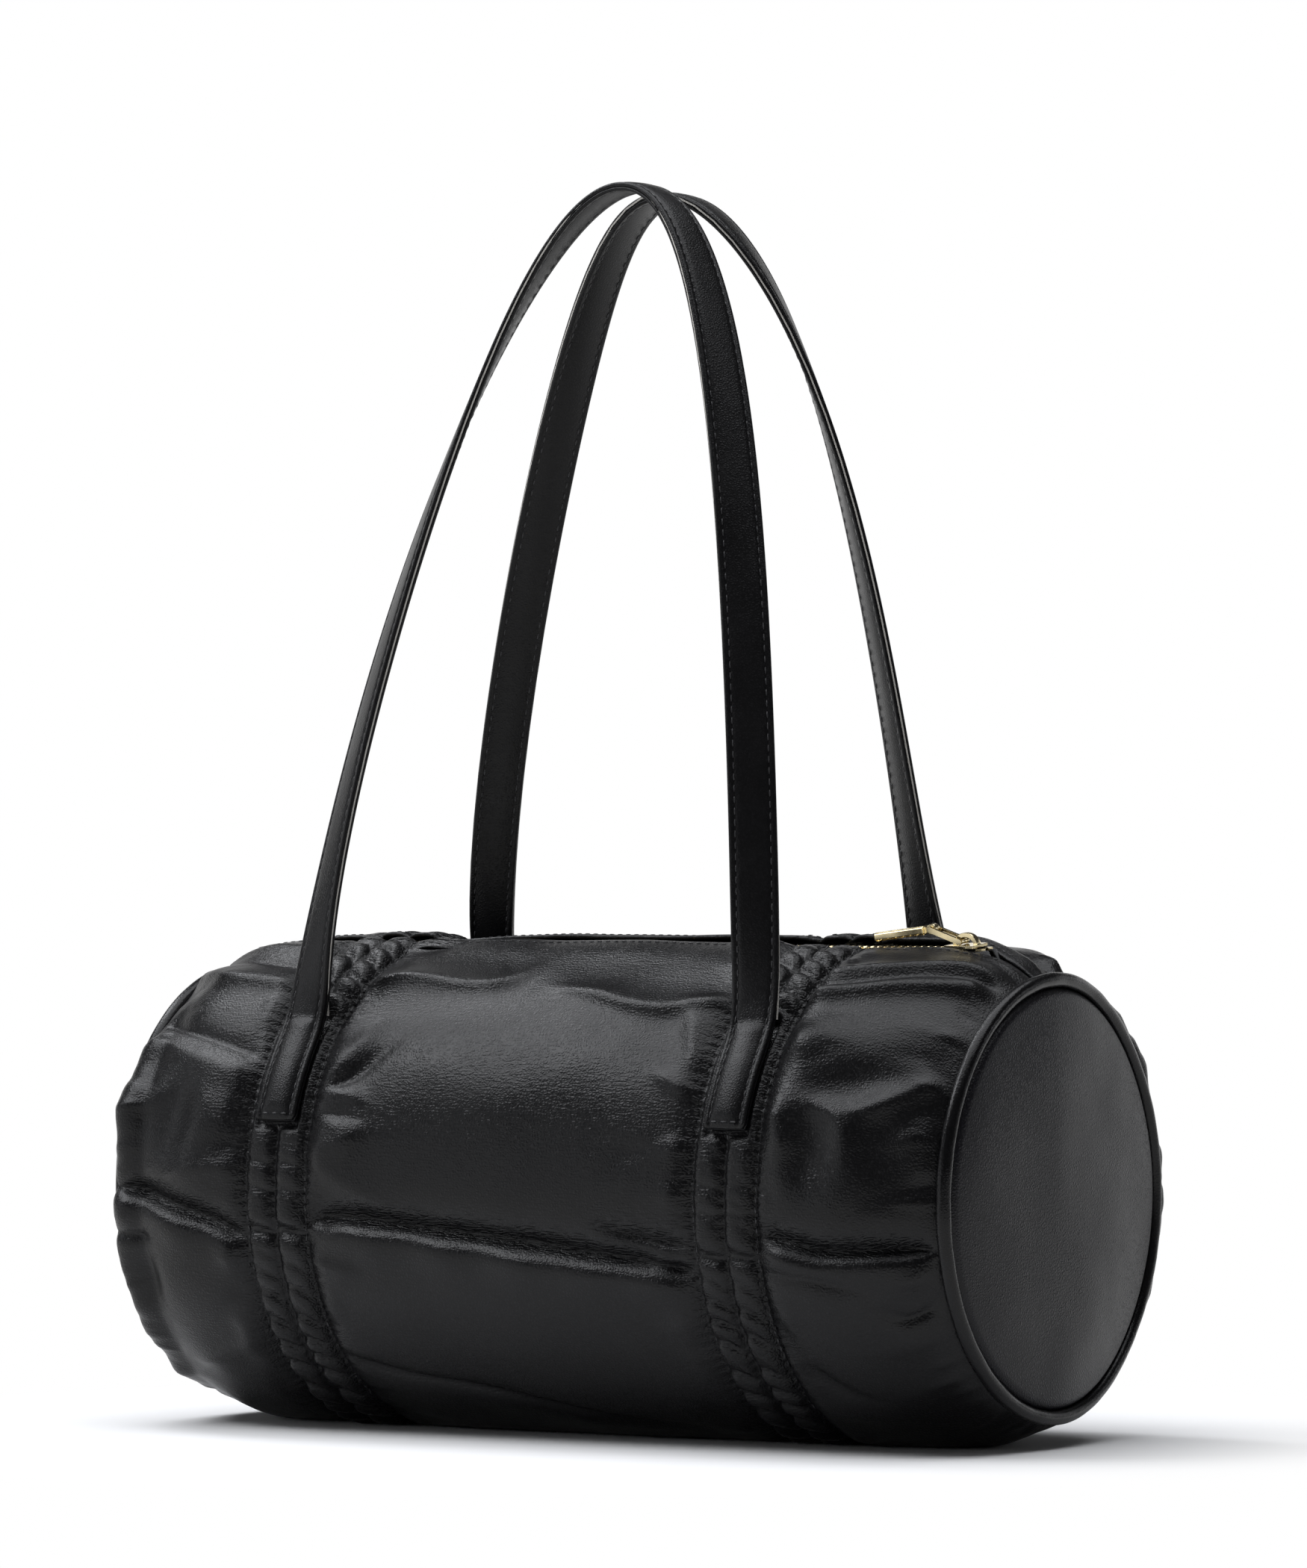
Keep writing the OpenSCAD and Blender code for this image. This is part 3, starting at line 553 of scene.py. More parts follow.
def skin_radius(x, turn):
    """The distance of the folded skin from the bag's axis."""
    turn = turn % 360
    reach = np.abs(x)
    folds = on_both_faces(x, turn, photographed_folds)
    for places, height, width in puckers:
        folds += fold(x, turn, places, height, width * mm_per_degree * 1.1, point=0.5,
                      tips=(0, 0.75))
    folds += 0.9 * unevenness(x, turn)
    to_seam = np.minimum(np.abs(reach - row_places[0]), np.abs(reach - row_places[2]))
    held = 0.15 + 0.85 * ease(0.5, 8, to_seam)
    held = np.where((reach > row_places[0]) & (reach < row_places[2]), 0.15, held)
    held *= 0.35 + 0.65 * ease(0, 7, panel_end_x - reach)
    around = np.abs((turn + 180) % 360 - 180)
    radius = outline_radius(x) + folds * held + channels(x, turn)
    under_tab = (1 - ease(7.6, 8.6, np.abs(reach - band_x))) * ease(38.5, 40, around) \
        * (1 - ease(68, 69.5, around))
    return radius * (1 - under_tab) + (band_r - 0.5) * under_tab


def settled(places, tuck=0.0):
    """Each end has slumped: its rim is pushed in, the left's front and the right's back.

    tuck pushes the rim in further than the leather over it.
    """
    x, y, z = (places[..., k] / MM for k in range(3))
    front_slump = ease(-118, -158, x) * ease(10, -62, y)
    back_slump = ease(118, 158, x) * ease(-10, 62, y)
    x = x + (2.5 + tuck) * front_slump - (2.8 + tuck) * back_slump
    return np.stack([x, y, z], axis=-1) * MM


def skin_point(x, turn, depth=0.0, radius=None):
    """Places on the skin, in metres, pressed flat where they would sink into the floor."""
    radius = (skin_radius(x, turn) if radius is None else radius) - depth
    angle = np.radians(turn + roll)
    z = axis_z + radius * np.cos(angle)
    z = 0.5 * (z + np.sqrt(z * z + 1.5)) - 0.05 + depth * 0.3 * (z < 1)
    return settled(np.stack([x, -radius * np.sin(angle), z], axis=-1) * MM)


# %% [markdown]
# ## Grids
#
# The skin, the tapes and the straps are all sheets, so they start as one flat grid from
# Blender's own operator. Its points are then moved to where the sheet goes. The grid brings its
# own UV map, which the woven finishes use.

# %% Grid helper
def sheet_of(name, columns, rows, place, material, closed=False, caps=False):
    """A grid whose points go where place(u, v) says, u and v running from 0 to 1."""
    bm = bmesh.new()
    bm.loops.layers.uv.new("UVMap")
    bmesh.ops.create_grid(bm, x_segments=columns, y_segments=rows, size=1.0, calc_uvs=True)
    flat = np.array([v.co[:2] for v in bm.verts]) * 0.5 + 0.5
    for vert, co in zip(bm.verts, place(flat[:, 0], flat[:, 1])):
        vert.co = co
    if closed:
        bmesh.ops.remove_doubles(bm, verts=bm.verts, dist=1e-7)
    if caps:
        rim = [e for e in bm.edges if e.is_boundary]
        bmesh.ops.holes_fill(bm, edges=rim, sides=0)
    if closed:
        bmesh.ops.recalc_face_normals(bm, faces=bm.faces)
    return piece(name, bm, material)


def piece(name, bm, material, smooth=True):
    """An object in the scene from a bmesh, with one finish."""
    mesh = bpy.data.meshes.new(name)
    bm.to_mesh(mesh)
    bm.free()
    if smooth:
        mesh.polygons.foreach_set("use_smooth", [True] * len(mesh.polygons))
    mesh.materials.append(material)
    made = bpy.data.objects.new(name, mesh)
    scene.collection.objects.link(made)
    return made


def thicken(made, thickness):
    """Gives a sheet its thickness in millimetres, half to each side."""
    thick = made.modifiers.new("cloth", "SOLIDIFY")
    thick.thickness = thickness * MM
    thick.offset = 0


def dress(made, body, slot, *nodes):
    """The piece rides on its body and stands for its CAD nodes. slot is not used."""
    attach(made, body)
    if nodes:
        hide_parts(*nodes)
    print(made.name, len(made.data.polygons), "faces")
    return made


# %% [markdown]
# ## The leather tube
#
# The grid's columns stand close together at the channels and the piping, where the folds are
# small, and further apart between them. Along both sides of the zip the leather is turned
# under, so the last rows of the grid curl round the edge and run back beneath it.

# %% Leather tube
column_places = [0, 0.06, 0.18, 0.35, 0.5]
column_x = [-panel_end_x, -146, -99.5, -74.5, 0]
hem_rows, hem_r, hem_back = 0.014, 0.75, 6.0
edge_dip_x = [66, 76, 92, 108, 122, 132]  # along the zip
edge_dip_depth = [0.0, 1.3, 1.8, 1.5, 0.6, 0.0]  # how far the leather's edge sinks there
overhang_x, overhang_h, overhang_l = 145, 4.0, 4.2  # where it begins, its height and its length


def zip_edge_turn(x):
    """Where the leather's edge runs beside the zip. The edges draw together past its ends."""
    return slot_turn * (1 - 0.72 * np.where(x > 0, ease(136, 150, x), ease(-149, -157, x)))


def edge_sink(x, turn):
    """The front edge beside the zip sinks near the closed end and shows the teeth."""
    around = (turn + 180) % 360 - 180
    return np.interp(x, edge_dip_x, edge_dip_depth) * (1 - ease(5, 13, around)) * (around > 0)


def overhang(x, turn):
    """The leather swells over the piping: how far it stands out, and how far along the bag."""
    share = np.clip((np.abs(x) - overhang_x) / (panel_end_x - overhang_x), 0, 1)
    facing = np.where(x < 0, turn, 360 - turn)
    gate = ease(25, 62, facing) * (1 - ease(118, 165, facing))
    ripple = 1 + 0.07 * np.sin(facing / 3.1) + 0.09 * np.sin(facing / 7.7 + 1)
    proud = overhang_h * np.sin(np.pi * share ** 1.4) ** 1.2 * gate * ripple
    past_rim = overhang_l * np.sin(np.pi * share ** 2.3) * gate * ripple \
        - 1.5 * ease(0.86, 1, share) * gate
    return proud, np.sign(x) * past_rim


def tube_place(u, v):
    """u runs along the bag and v round it, from one edge beside the zip to the other."""
    x = np.sign(u - 0.5) * -np.interp(np.minimum(u, 1 - u), column_places, column_x)
    within = np.clip((v - hem_rows) / (1 - 2 * hem_rows), 0, 1)
    edge = zip_edge_turn(x)
    turn = edge + (360 - 2 * edge) * within
    proud, past_rim = overhang(x, turn)
    co = skin_point(x + past_rim, turn, radius=skin_radius(x, turn) - edge_sink(x, turn) + proud)
    angle = np.radians(turn + roll)
    out = np.stack([0 * x, -np.sin(angle), np.cos(angle)], axis=-1)
    to_zip = np.stack([0 * x, np.cos(angle), np.sin(angle)], axis=-1)
    past = np.where(v < 0.5, hem_rows - v, v - (1 - hem_rows)) / hem_rows
    to_zip = np.where((v < 0.5)[:, None], to_zip, -to_zip)
    curl = np.clip(past / 0.5, 0, 1) * np.pi
    back = np.clip((past - 0.5) / 0.5, 0, 1) * hem_back
    hem = to_zip * (np.sin(curl) * hem_r - back)[:, None] \
        - out * ((1 - np.cos(curl)) * hem_r)[:, None]
    return co + np.where((past > 0)[:, None], hem * MM, 0)


tube = sheet_of("leather_tube", 194, 504, tube_place, body_leather)
tube_co = np.array([v.co for v in tube.data.vertices])
tube_turn = (np.degrees(np.arctan2(-tube_co[:, 1], tube_co[:, 2] - axis_z * MM)) - roll) % 360
tube_x = tube_co[:, 0] / MM


def wrinkled(x, turn):
    """How hard the leather is folded above the four deep creases."""
    added = np.zeros_like(x)
    for crease in creases[:4]:
        added += fold(x, turn, crease[0], 0.7, 6, 0.8, tips=(0.2, 0.2))
    return added


tube_reach = np.abs(tube_x)
near_seam = np.exp(-np.minimum(np.abs(tube_reach - row_places[0]),
                               np.abs(tube_reach - row_places[2])) / 5)
wrinkle_share = 0.12 + on_both_faces(tube_x, tube_turn, wrinkled) + 0.35 * near_seam
wrinkle = tube.data.attributes.new("wrinkle", "FLOAT", "POINT")
wrinkle.data.foreach_set("value", np.clip(wrinkle_share, 0, 1).astype(np.float32))
dress(tube, "root", "body_leather", "main_panel")

# %% [markdown]
# ## End discs and piping
#
# Each end is a disc of the same leather over foam. It is slightly domed and its edge rolls in
# to the seam. A profile is spun round the bag's axis, and the disc's surface then gets
# the slow unevenness that foam gives. The piping is a cord wrapped in leather: a circle spun
# round the same axis.

# %% End discs
disc_r, disc_dome, disc_roll = 67.5, 3.8, 2.6


def slump(bm):
    """Moves what a disc holds as its end has slumped."""
    for vert, co in zip(bm.verts, settled(np.array([v.co for v in bm.verts]), tuck=1.5)):
        vert.co = co


def spin_round(bm, geom, steps):
    """Spins geometry once round the bag's axis into a closed skin."""
    bmesh.ops.spin(bm, geom=geom, cent=(0, 0, axis_z * MM), axis=(1, 0, 0),
                   angle=2 * math.pi, steps=steps, use_merge=True)
    bmesh.ops.remove_doubles(bm, verts=bm.verts, dist=1e-6)
    bmesh.ops.recalc_face_normals(bm, faces=bm.faces)


def spun(profile, side, steps):
    """Spins a profile of (radius, distance outwards from the rim's plane) round the axis."""
    bm = bmesh.new()
    verts = [bm.verts.new((side * (rim_x + out) * MM, 0, (axis_z + r) * MM)) for r, out in profile]
    edges = [bm.edges.new(pair) for pair in zip(verts[:-1], verts[1:])]
    spin_round(bm, verts + edges, steps)
    return bm


def end_disc(side, word):
    profile = []
    for share in np.linspace(0, 1, 46) ** 0.6:
        rolled = disc_roll * max(0, (share - 0.955) / 0.045) ** 2
        profile.append((disc_r * share, 1.5 + disc_dome * (1 - share ** 4) - rolled))
    profile += [(disc_r, -1.6), (0, -0.2)]
    bm = spun(profile, side, 160)
    for vert in bm.verts:
        spot = vert.co / MM
        r = math.hypot(spot.y, spot.z - axis_z)
        hold = 1 - ease(0.8, 1.0, r / disc_r)
        if side * spot.x > rim_x - 2:
            wave = noise.noise(Vector((spot.y / 42, spot.z / 50, side * 4.0))) \
                + 0.12 * noise.noise(Vector((spot.y / 17, spot.z / 19, side * 9.0)))
            vert.co.x += side * float(hold) * 0.9 * wave * MM
    slump(bm)
    made = piece(word + "_disc", bm, end_leather)
    dress(made, "root", "end_leather", word + "_end_panel")


for side, word in ends:
    end_disc(side, word)

# %% Foam sheets
def domed_sheet(side, name, material, radius, edge, dome, thickness, rings, steps):
    """A thin round sheet behind an end disc, domed like it and slumped with it."""
    profile = [(r, edge + dome * (1 - (r / radius) ** 2)) for r in np.linspace(0, radius, rings)]
    profile += [(r, out - thickness) for r, out in reversed(profile)]
    bm = spun(profile, side, steps)
    slump(bm)
    return piece(name, bm, material)


foam_r, foam_t = 66.6, 1.5
for side, word in ends:
    made = domed_sheet(side, word + "_foam", foam, foam_r, -0.6, 3.8, foam_t, 14, 72)
    dress(made, "root", "foam", word + "_end_stiffener")

# %% Piping
def piping_ring(side, name, node, material, slot, radius):
    bm = bmesh.new()
    bmesh.ops.create_circle(bm, segments=20, radius=radius * MM)
    upright = Matrix.Translation((side * rim_x * MM, 0, (axis_z + seam_r) * MM)) \
        @ Matrix.Rotation(math.pi / 2, 4, "X")
    bmesh.ops.transform(bm, matrix=upright, verts=bm.verts)
    spin_round(bm, bm.verts[:] + bm.edges[:], 240)
    for vert in bm.verts:
        angle = math.atan2(vert.co.y, vert.co.z - axis_z * MM)
        middle = MM * Vector((side * rim_x, math.sin(angle) * seam_r,
                              axis_z + math.cos(angle) * seam_r))
        swell = 1 + 0.05 * noise.noise(Vector((math.sin(angle) * 9, math.cos(angle) * 9, side)))
        vert.co = middle + (vert.co - middle) * swell
    slump(bm)
    dress(piece(name, bm, material), "root", slot, node)


for side, word in ends:
    piping_ring(side, word + "_piping_leather", word + "_piping", piping_leather,
                "piping_leather", radius=2.4)
    piping_ring(side, word + "_cord", word + "_piping_cord", cord_cotton,
                "piping_cord", radius=1.5)

# %% [markdown]
# ## Straps
#
# A strap is one long flat ribbon: a face and a back with a filler between, sewn along both
# edges. It lies on the bag at both ends and arches up between them. Its path and its twist are
# the same formulas that the frame's straps were built from, with the corner at each end
# eased, as leather would. At every step along the path a cross-section is set across it.

# %% Strap path
strap_w = 15.5
tab_mid_r, tab_top, tab_bottom = 83.1, 41.0, 67.0
tab_len = math.radians(tab_bottom - tab_top) * tab_mid_r


def bend_with(made):
    """Bakes the strap's placement into its mesh."""
    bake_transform(made)


def lengths_to(points):
    """The length along a line of points up to each of them."""
    return np.concatenate([[0], np.cumsum(np.linalg.norm(np.diff(points, axis=0), axis=1))])


def at_lengths(wanted, lengths, values):
    return np.stack([np.interp(wanted, lengths, values[:, k]) for k in range(3)], axis=1)


def unit(rows):
    return rows / np.linalg.norm(rows, axis=1)[:, None]


def square_to(heading, rows):
    """Unit vectors made square to the headings."""
    return unit(rows - (rows * heading).sum(1)[:, None] * heading)


def strap_frames(front):
    """Places, headings and face normals along a strap, from one sewn end to the other."""
    outward = -1 if front else 1
    foot = (-61.17, 136.33) if front else (45.56, 149.80)
    crown = (-1.0, 409.0) if front else (22.0, 407.0)

    def ring_place(side, turn):
        angle = math.radians(turn + (roll if front else -roll))
        return (side * band_x, outward * tab_mid_r * math.sin(angle),
                axis_z + tab_mid_r * math.cos(angle))

    def arch_place(turn):
        u = math.sin(math.radians(turn)) ** 1.55 if 0 < turn < 180 else 0.0
        lean = u ** 1.35 if front else 0.36 * (1 - math.exp(-u / 0.15)) + 0.64 * u ** 5.5
        return (-band_x * math.cos(math.radians(turn)), foot[0] + (crown[0] - foot[0]) * lean,
                foot[1] + (crown[1] - foot[1]) * u), u

    tab_turns = np.linspace(tab_bottom, tab_top + 1.5, 16)
    arch, rise = zip(*[arch_place(turn) for turn in np.linspace(5, 175, 120)])
    p = np.array([ring_place(-1, turn) for turn in tab_turns] + list(arch)
                 + [ring_place(1, turn) for turn in tab_turns[::-1]])
    on_tab = np.full(len(p), True)
    on_tab[16:-16] = False
    rise, twists = np.array(rise), np.zeros(len(p))
    twists[~on_tab] = np.radians(36 * (1 - np.exp(-rise / 0.1)) + 54 * rise ** 3)
    heading = unit(np.gradient(p, axis=0))
    level = square_to(heading, np.tile([0.0, outward, 0.0], (len(p), 1)))
    side = np.cross(level, heading) if front else np.cross(heading, level)
    normal = np.cos(twists)[:, None] * level + np.sin(twists)[:, None] * side
    normal = np.where(on_tab[:, None], unit(p * [0, 1, 1] - [0, 0, axis_z]), normal)
    lengths = lengths_to(p)
    even = np.linspace(0, lengths[-1], 300)
    p, normal = at_lengths(even, lengths, p), at_lengths(even, lengths, normal)
    for _ in range(14):
        for values in (p, normal):
            values[1:-1] = 0.25 * values[:-2] + 0.5 * values[1:-1] + 0.25 * values[2:]
    heading = unit(np.gradient(p, axis=0))
    normal = square_to(heading, normal)
    return p, normal, np.cross(heading, normal), even


# %% Strap sections
stitch_in = 2.1
tab_stitch_rows = (1.9, tab_len - 0.6)
face_section = [  # across, and height over the middle of the strap, from one edge to the middle
    (-7.75, 0.35), (-7.72, 0.8), (-7.5, 1.2), (-7.1, 1.38), (-6.5, 1.42), (-6.0, 1.3),
    (-5.65, 1.12), (-5.3, 1.3), (-4.9, 1.5), (-4.0, 1.62), (-2.0, 1.7), (0.0, 1.72)]
face_section += [(-a, h) for a, h in reversed(face_section[:-1])]
face_section += [(7.6, -0.15), (0, -0.2), (-7.6, -0.15)]
back_section = [
    (-7.62, -0.35), (-7.4, -0.27), (0, -0.25), (7.4, -0.27), (7.62, -0.35), (7.66, -0.8),
    (7.5, -1.25), (7.0, -1.48), (5.9, -1.42), (5.65, -1.3), (5.4, -1.42), (0, -1.5),
    (-5.4, -1.42), (-5.65, -1.3), (-5.9, -1.42), (-7.0, -1.48), (-7.5, -1.25), (-7.66, -0.8)]


def along(values, share):
    """Values of a path at shares of its length."""
    spots = share * (len(values) - 1)
    low = np.clip(spots.astype(int), 0, len(values) - 2)
    return values[low] + (values[low + 1] - values[low]) * (spots - low)[:, None]


def strap_layer(name, frames, section, puff, nodes):
    p, normal, across, even = frames
    outline = np.array(section + section[:1], float)
    total = even[-1]

    def place(u, v):
        spot = v * (len(outline) - 1)
        low = np.clip(spot.astype(int), 0, len(outline) - 2)
        flat = outline[low] + (outline[low + 1] - outline[low]) * (spot - low)[:, None]
        a, h = flat[:, 0], flat[:, 1]
        end = np.minimum(u, 1 - u) * total
        if puff:
            inner = np.clip(1 - (a / 5.0) ** 2, 0, 1) * (h > 0.5)
            on_tab = ease(1.8, 4.5, end) * (1 - ease(tab_len - 4.0, tab_len - 1.2, end))
            h = h + inner ** 0.5 * on_tab * 0.75
            for row in tab_stitch_rows:
                h = h - 0.35 * np.exp(-((end - row) / 0.55) ** 2) * (h > 0.5) * (np.abs(a) < 6)
        corner = 1 - 0.1 * (1 - np.clip(end / 1.6, 0, 1)) ** 2
        sideways = along(across, u) * (a * corner)[:, None]
        return (along(p, u) + sideways + along(normal, u) * h[:, None]) * MM

    made = sheet_of(name, 420, len(outline) - 1, place, strap_leather, closed=True, caps=True)
    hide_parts(*nodes)
    bend_with(made)
    print(name, len(made.data.polygons), "faces,", round(total), "mm long")


strap_paths = {"front_strap": strap_frames(True), "back_strap": strap_frames(False)}
for strap, frames in strap_paths.items():
    strap_layer(strap + "_leather", frames, face_section, True,
                [strap + "_face", strap + "_end_left", strap + "_end_right"])
    strap_layer(strap + "_lining", frames, back_section, False, [strap + "_back"])

# %% [markdown]
# ## Stitches
#
# A stitch is a short soft bead of thread that sinks in at both ends. One low ball is stretched
# to that shape and set down at every place of a row, turned along the row. The stitches on the
# straps are baked in place like the straps, and the others stay with the body.

# %% Stitch helpers
bead_bm = bmesh.new()
bmesh.ops.create_uvsphere(bead_bm, u_segments=6, v_segments=4, radius=1.0)
thread_bead = bpy.data.meshes.new("thread_bead")
bead_bm.to_mesh(thread_bead)


def stitch_beads(bm, places, headings, normals, length=2.6, width=0.6, height=0.5):
    """Sets a stitch down at each place, along its heading and standing on its normal."""
    for place, heading, normal in zip(places, headings, normals):
        heading = Vector(heading).normalized()
        normal = Vector(normal)
        normal = (normal - heading * normal.dot(heading)).normalized()
        across = normal.cross(heading)
        turn = Matrix((heading, across, normal)).transposed().to_4x4()
        size = Matrix.Diagonal((length / 2 * MM, width / 2 * MM, height / 2 * MM, 1))
        bead = thread_bead.copy()
        bead.transform(Matrix.Translation(Vector(place)) @ turn @ size)
        bm.from_mesh(bead)
        bpy.data.meshes.remove(bead)


def even_places(points, pitch):
    """Places a pitch apart along a line of points, and the headings there."""
    lengths = lengths_to(points)
    count = int(lengths[-1] / pitch)
    spots = (np.arange(count) + 0.5) * lengths[-1] / count
    behind, at, ahead = (at_lengths(spots + pitch * k, lengths, points) for k in (-0.3, 0, 0.3))
    return at, ahead - behind


# %% Strap stitches
def strap_stitches(name, frames):
    p, normal, across, even = frames
    bm = bmesh.new()
    for edge in (-1, 1):
        for height, way in ((1.24, 1), (-1.38, -1)):
            line = (p + across * edge * (strap_w / 2 - stitch_in) + normal * height) * MM
            at, heading = even_places(line[1:-1], 3.7 * MM)
            share = np.linspace(0, 1, len(at))
            stitch_beads(bm, at, heading, along(normal, share) * way)
    for row in tab_stitch_rows:
        for share in (row / even[-1], 1 - row / even[-1]):
            one = np.array([share])
            middle, up, over = (along(v, one)[0] for v in (p, normal, across))
            spots = [(middle + over * a + up * 1.5) * MM for a in (-3.6, 0, 3.6)]
            stitch_beads(bm, spots, [over] * 3, [up] * 3)
    made = piece(name, bm, black_thread)
    bend_with(made)
    print(name, len(made.data.polygons), "faces")


for strap, frames in strap_paths.items():
    strap_stitches(strap + "_stitches", frames)

# %% Body stitches
def stitches_on_skin(bm, line, pitch, **size):
    """Stitches along a line on the skin, standing away from the bag's axis."""
    at, heading = even_places(line, pitch * MM)
    out = at - np.array([0, 0, axis_z * MM])
    out[:, 0] = 0
    stitch_beads(bm, at, heading, out, **size)


stitch_bm = bmesh.new()
for side in (-1, 1):
    for row in row_places:
        turn = np.linspace(slot_turn + 1, 359 - slot_turn, 1200)
        line = skin_point(np.full_like(turn, side * row), turn, depth=-0.1)
        stitches_on_skin(stitch_bm, line, 3.5)
for way in (1, -1):
    x = np.linspace(-148, 148, 900)
    turn = way * (zip_edge_turn(x) + 1.6)
    line = skin_point(x, turn, radius=skin_radius(x, turn) - edge_sink(x, turn) + 0.08)
    stitches_on_skin(stitch_bm, line, 3.2, length=2.2, width=0.45, height=0.3)
dress(piece("body_stitches", stitch_bm, black_thread), "root", "body_leather")

# %% [markdown]
# ## Zip
#
# The tapes are woven strips that dip with the leather towards both ends. Each tooth is a small
# block that clamps the tape's edge, with its corners rounded.

# %% Zip tapes
zip_r = 79.1
tape_in, tape_w, tape_t = 1.5, 12.0, 0.55
tape_reach = panel_end_x - 0.4


def part_with_slider(made):
    """Gives this half of the zip a mesh of its own."""
    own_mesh(made)


def tape_drop(x):
    """How far the tape dips to stay under the leather towards the ends."""
    return np.maximum(0, zip_r + 0.3 - np.minimum(zip_r + 0.3, outline_radius(x) - 2.2))


def zip_tape(side, name, node):
    def place(u, v):
        x = (u - 0.5) * 2 * tape_reach
        y = tape_in + tape_w * v
        drop = tape_drop(x) * ease(3.7, 6.2, np.where(np.abs(x) < 143, y, 9))
        angle = np.radians(roll) + side * y / zip_r
        radius = zip_r + 0.1 - drop - 0.6 * ease(4, 7, y)
        return np.stack([x, -radius * np.sin(angle), axis_z + radius * np.cos(angle)], axis=-1) * MM
    made = sheet_of(name, 160, 12, place, tape_cloth)
    thicken(made, tape_t)
    dress(made, "root", "zip_tape", node)
    part_with_slider(made)


zip_tape(1, "front_tape", "zip_tape_front")
zip_tape(-1, "back_tape", "zip_tape_back")

# %% Zip teeth
tooth_pitch, tooth_count, chain_start = 2.6, 102, -132.5
tooth_l, tooth_w, tooth_h = 1.15, 3.8, 2.4


def zip_teeth(side, shift, name, node):
    bm = bmesh.new()
    lift = Matrix.Translation((0, 0, axis_z * MM)) @ Matrix.Rotation(math.radians(roll), 4, "X")
    size = Matrix.Diagonal((tooth_l * MM, tooth_w * MM, tooth_h * MM, 1))
    for number in range(tooth_count):
        x = chain_start + shift + number * tooth_pitch + tooth_l / 2
        spot = Matrix.Translation((x * MM, -side * 1.0 * MM, (zip_r + 0.25) * MM))
        bmesh.ops.create_cube(bm, size=1.0, matrix=lift @ spot @ size)
    bmesh.ops.bevel(bm, geom=bm.edges[:], offset=0.28 * MM, segments=1, profile=0.5,
                    affect="EDGES", material=-1)
    made = piece(name, bm, gold)
    dress(made, "root", "gold_metal", node)
    part_with_slider(made)


zip_teeth(1, 0.0, "front_teeth", "zip_teeth_front")
zip_teeth(-1, tooth_pitch / 2, "back_teeth", "zip_teeth_back")

# %% [markdown]
# ## Slider, link and pull
#
# The frame's own slider has the right shape but sharp edges. A cast part has small rounded
# edges that catch the light, so a copy of each mesh is merged and its edges are bevelled.

# %% Rounded castings
def rounded_casting(node, name, body, offset):
    """A copy of a CAD piece with its sharp edges rounded."""
    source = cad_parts[node]
    bm = bmesh.new()
    bm.from_mesh(source.data)
    bmesh.ops.remove_doubles(bm, verts=bm.verts, dist=1e-6)
    bmesh.ops.dissolve_limit(bm, angle_limit=math.radians(1), verts=bm.verts, edges=bm.edges)
    sharp = [e for e in bm.edges if e.is_manifold and e.calc_face_angle(0) > math.radians(35)]
    bmesh.ops.bevel(bm, geom=sharp, offset=offset * MM, segments=2, profile=0.5,
                    affect="EDGES", material=-1, clamp_overlap=True)
    made = piece(name, bm, gold, smooth=False)
    return dress(made, body, "gold_metal", node)


rounded_casting("zip_slider", "slider", "zip_slider", 0.16)
rounded_casting("zip_pull_link", "pull_link", "zip_link", 0.14)
rounded_casting("zip_pull_bar", "pull_bar", "zip_pull", 0.18)

# %% [markdown]
# ## Hidden pieces
#
# The lining follows the leather from inside, so it takes the same skin function with a
# depth, on a coarser grid. The elastics do too: each is a woven ribbon that lies close under the
# leather between two rows of stitches. The cores and patches of the straps keep their own CAD
# shapes and only get their finish.

# %% Lining
lining_depth, lining_reach, lining_turn = 4.2, 157.6, 10.5
lining_end_r, lining_t = 66.4, 0.5


def lining_place(u, v):
    x = (u - 0.5) * 2 * lining_reach
    turn = lining_turn + (360 - 2 * lining_turn) * v
    return skin_point(x, turn, depth=lining_depth)


lining = sheet_of("lining_cloth_tube", 90, 160, lining_place, lining_cloth)
bm = bmesh.new()
bm.from_mesh(lining.data)
bmesh.ops.reverse_faces(bm, faces=bm.faces)
bm.to_mesh(lining.data)
bm.free()
dress(lining, "root", "lining", "lining_tube")
for side, word in ends:
    made = domed_sheet(side, word + "_lining_disc", lining_cloth, lining_end_r, -2.6, 4.0,
                       lining_t, 18, 96)
    dress(made, "root", "lining", word + "_lining_end")
pocket_w, pocket_turn, pocket_span = 120, 263, 52


def pocket_place(u, v):
    x = (u - 0.5) * pocket_w
    turn = pocket_turn + (v - 0.5) * pocket_span
    return skin_point(x, turn, depth=lining_depth + 1.2 + 0.4 * np.sin(v * np.pi))


pocket = sheet_of("slip_pocket", 40, 30, pocket_place, lining_cloth)
dress(pocket, "root", "lining", "lining_pocket")

# %% Elastics
elastic_w, elastic_t, elastic_depth, elastic_turn = 8.0, 0.5, 1.9, 11.5


def band_elastics(side, word):
    """The two elastics of one band."""
    bm = bmesh.new()
    bm.loops.layers.uv.new("UVMap")
    for row in row_places[:2]:
        verts = bmesh.ops.create_grid(
            bm, x_segments=5, y_segments=250, size=1.0, calc_uvs=True)["verts"]
        flat = np.array([v.co[:2] for v in verts]) * 0.5 + 0.5
        x = side * (row + channel_w / 2 + (flat[:, 0] - 0.5) * elastic_w)
        turn = elastic_turn + (360 - 2 * elastic_turn) * flat[:, 1]
        for vert, co in zip(verts, skin_point(x, turn, depth=elastic_depth)):
            vert.co = co
    ribbons = piece(word + "_elastics", bm, elastic_cloth)
    thicken(ribbons, elastic_t)
    dress(ribbons, "root", "elastic", word + "_band_elastics")


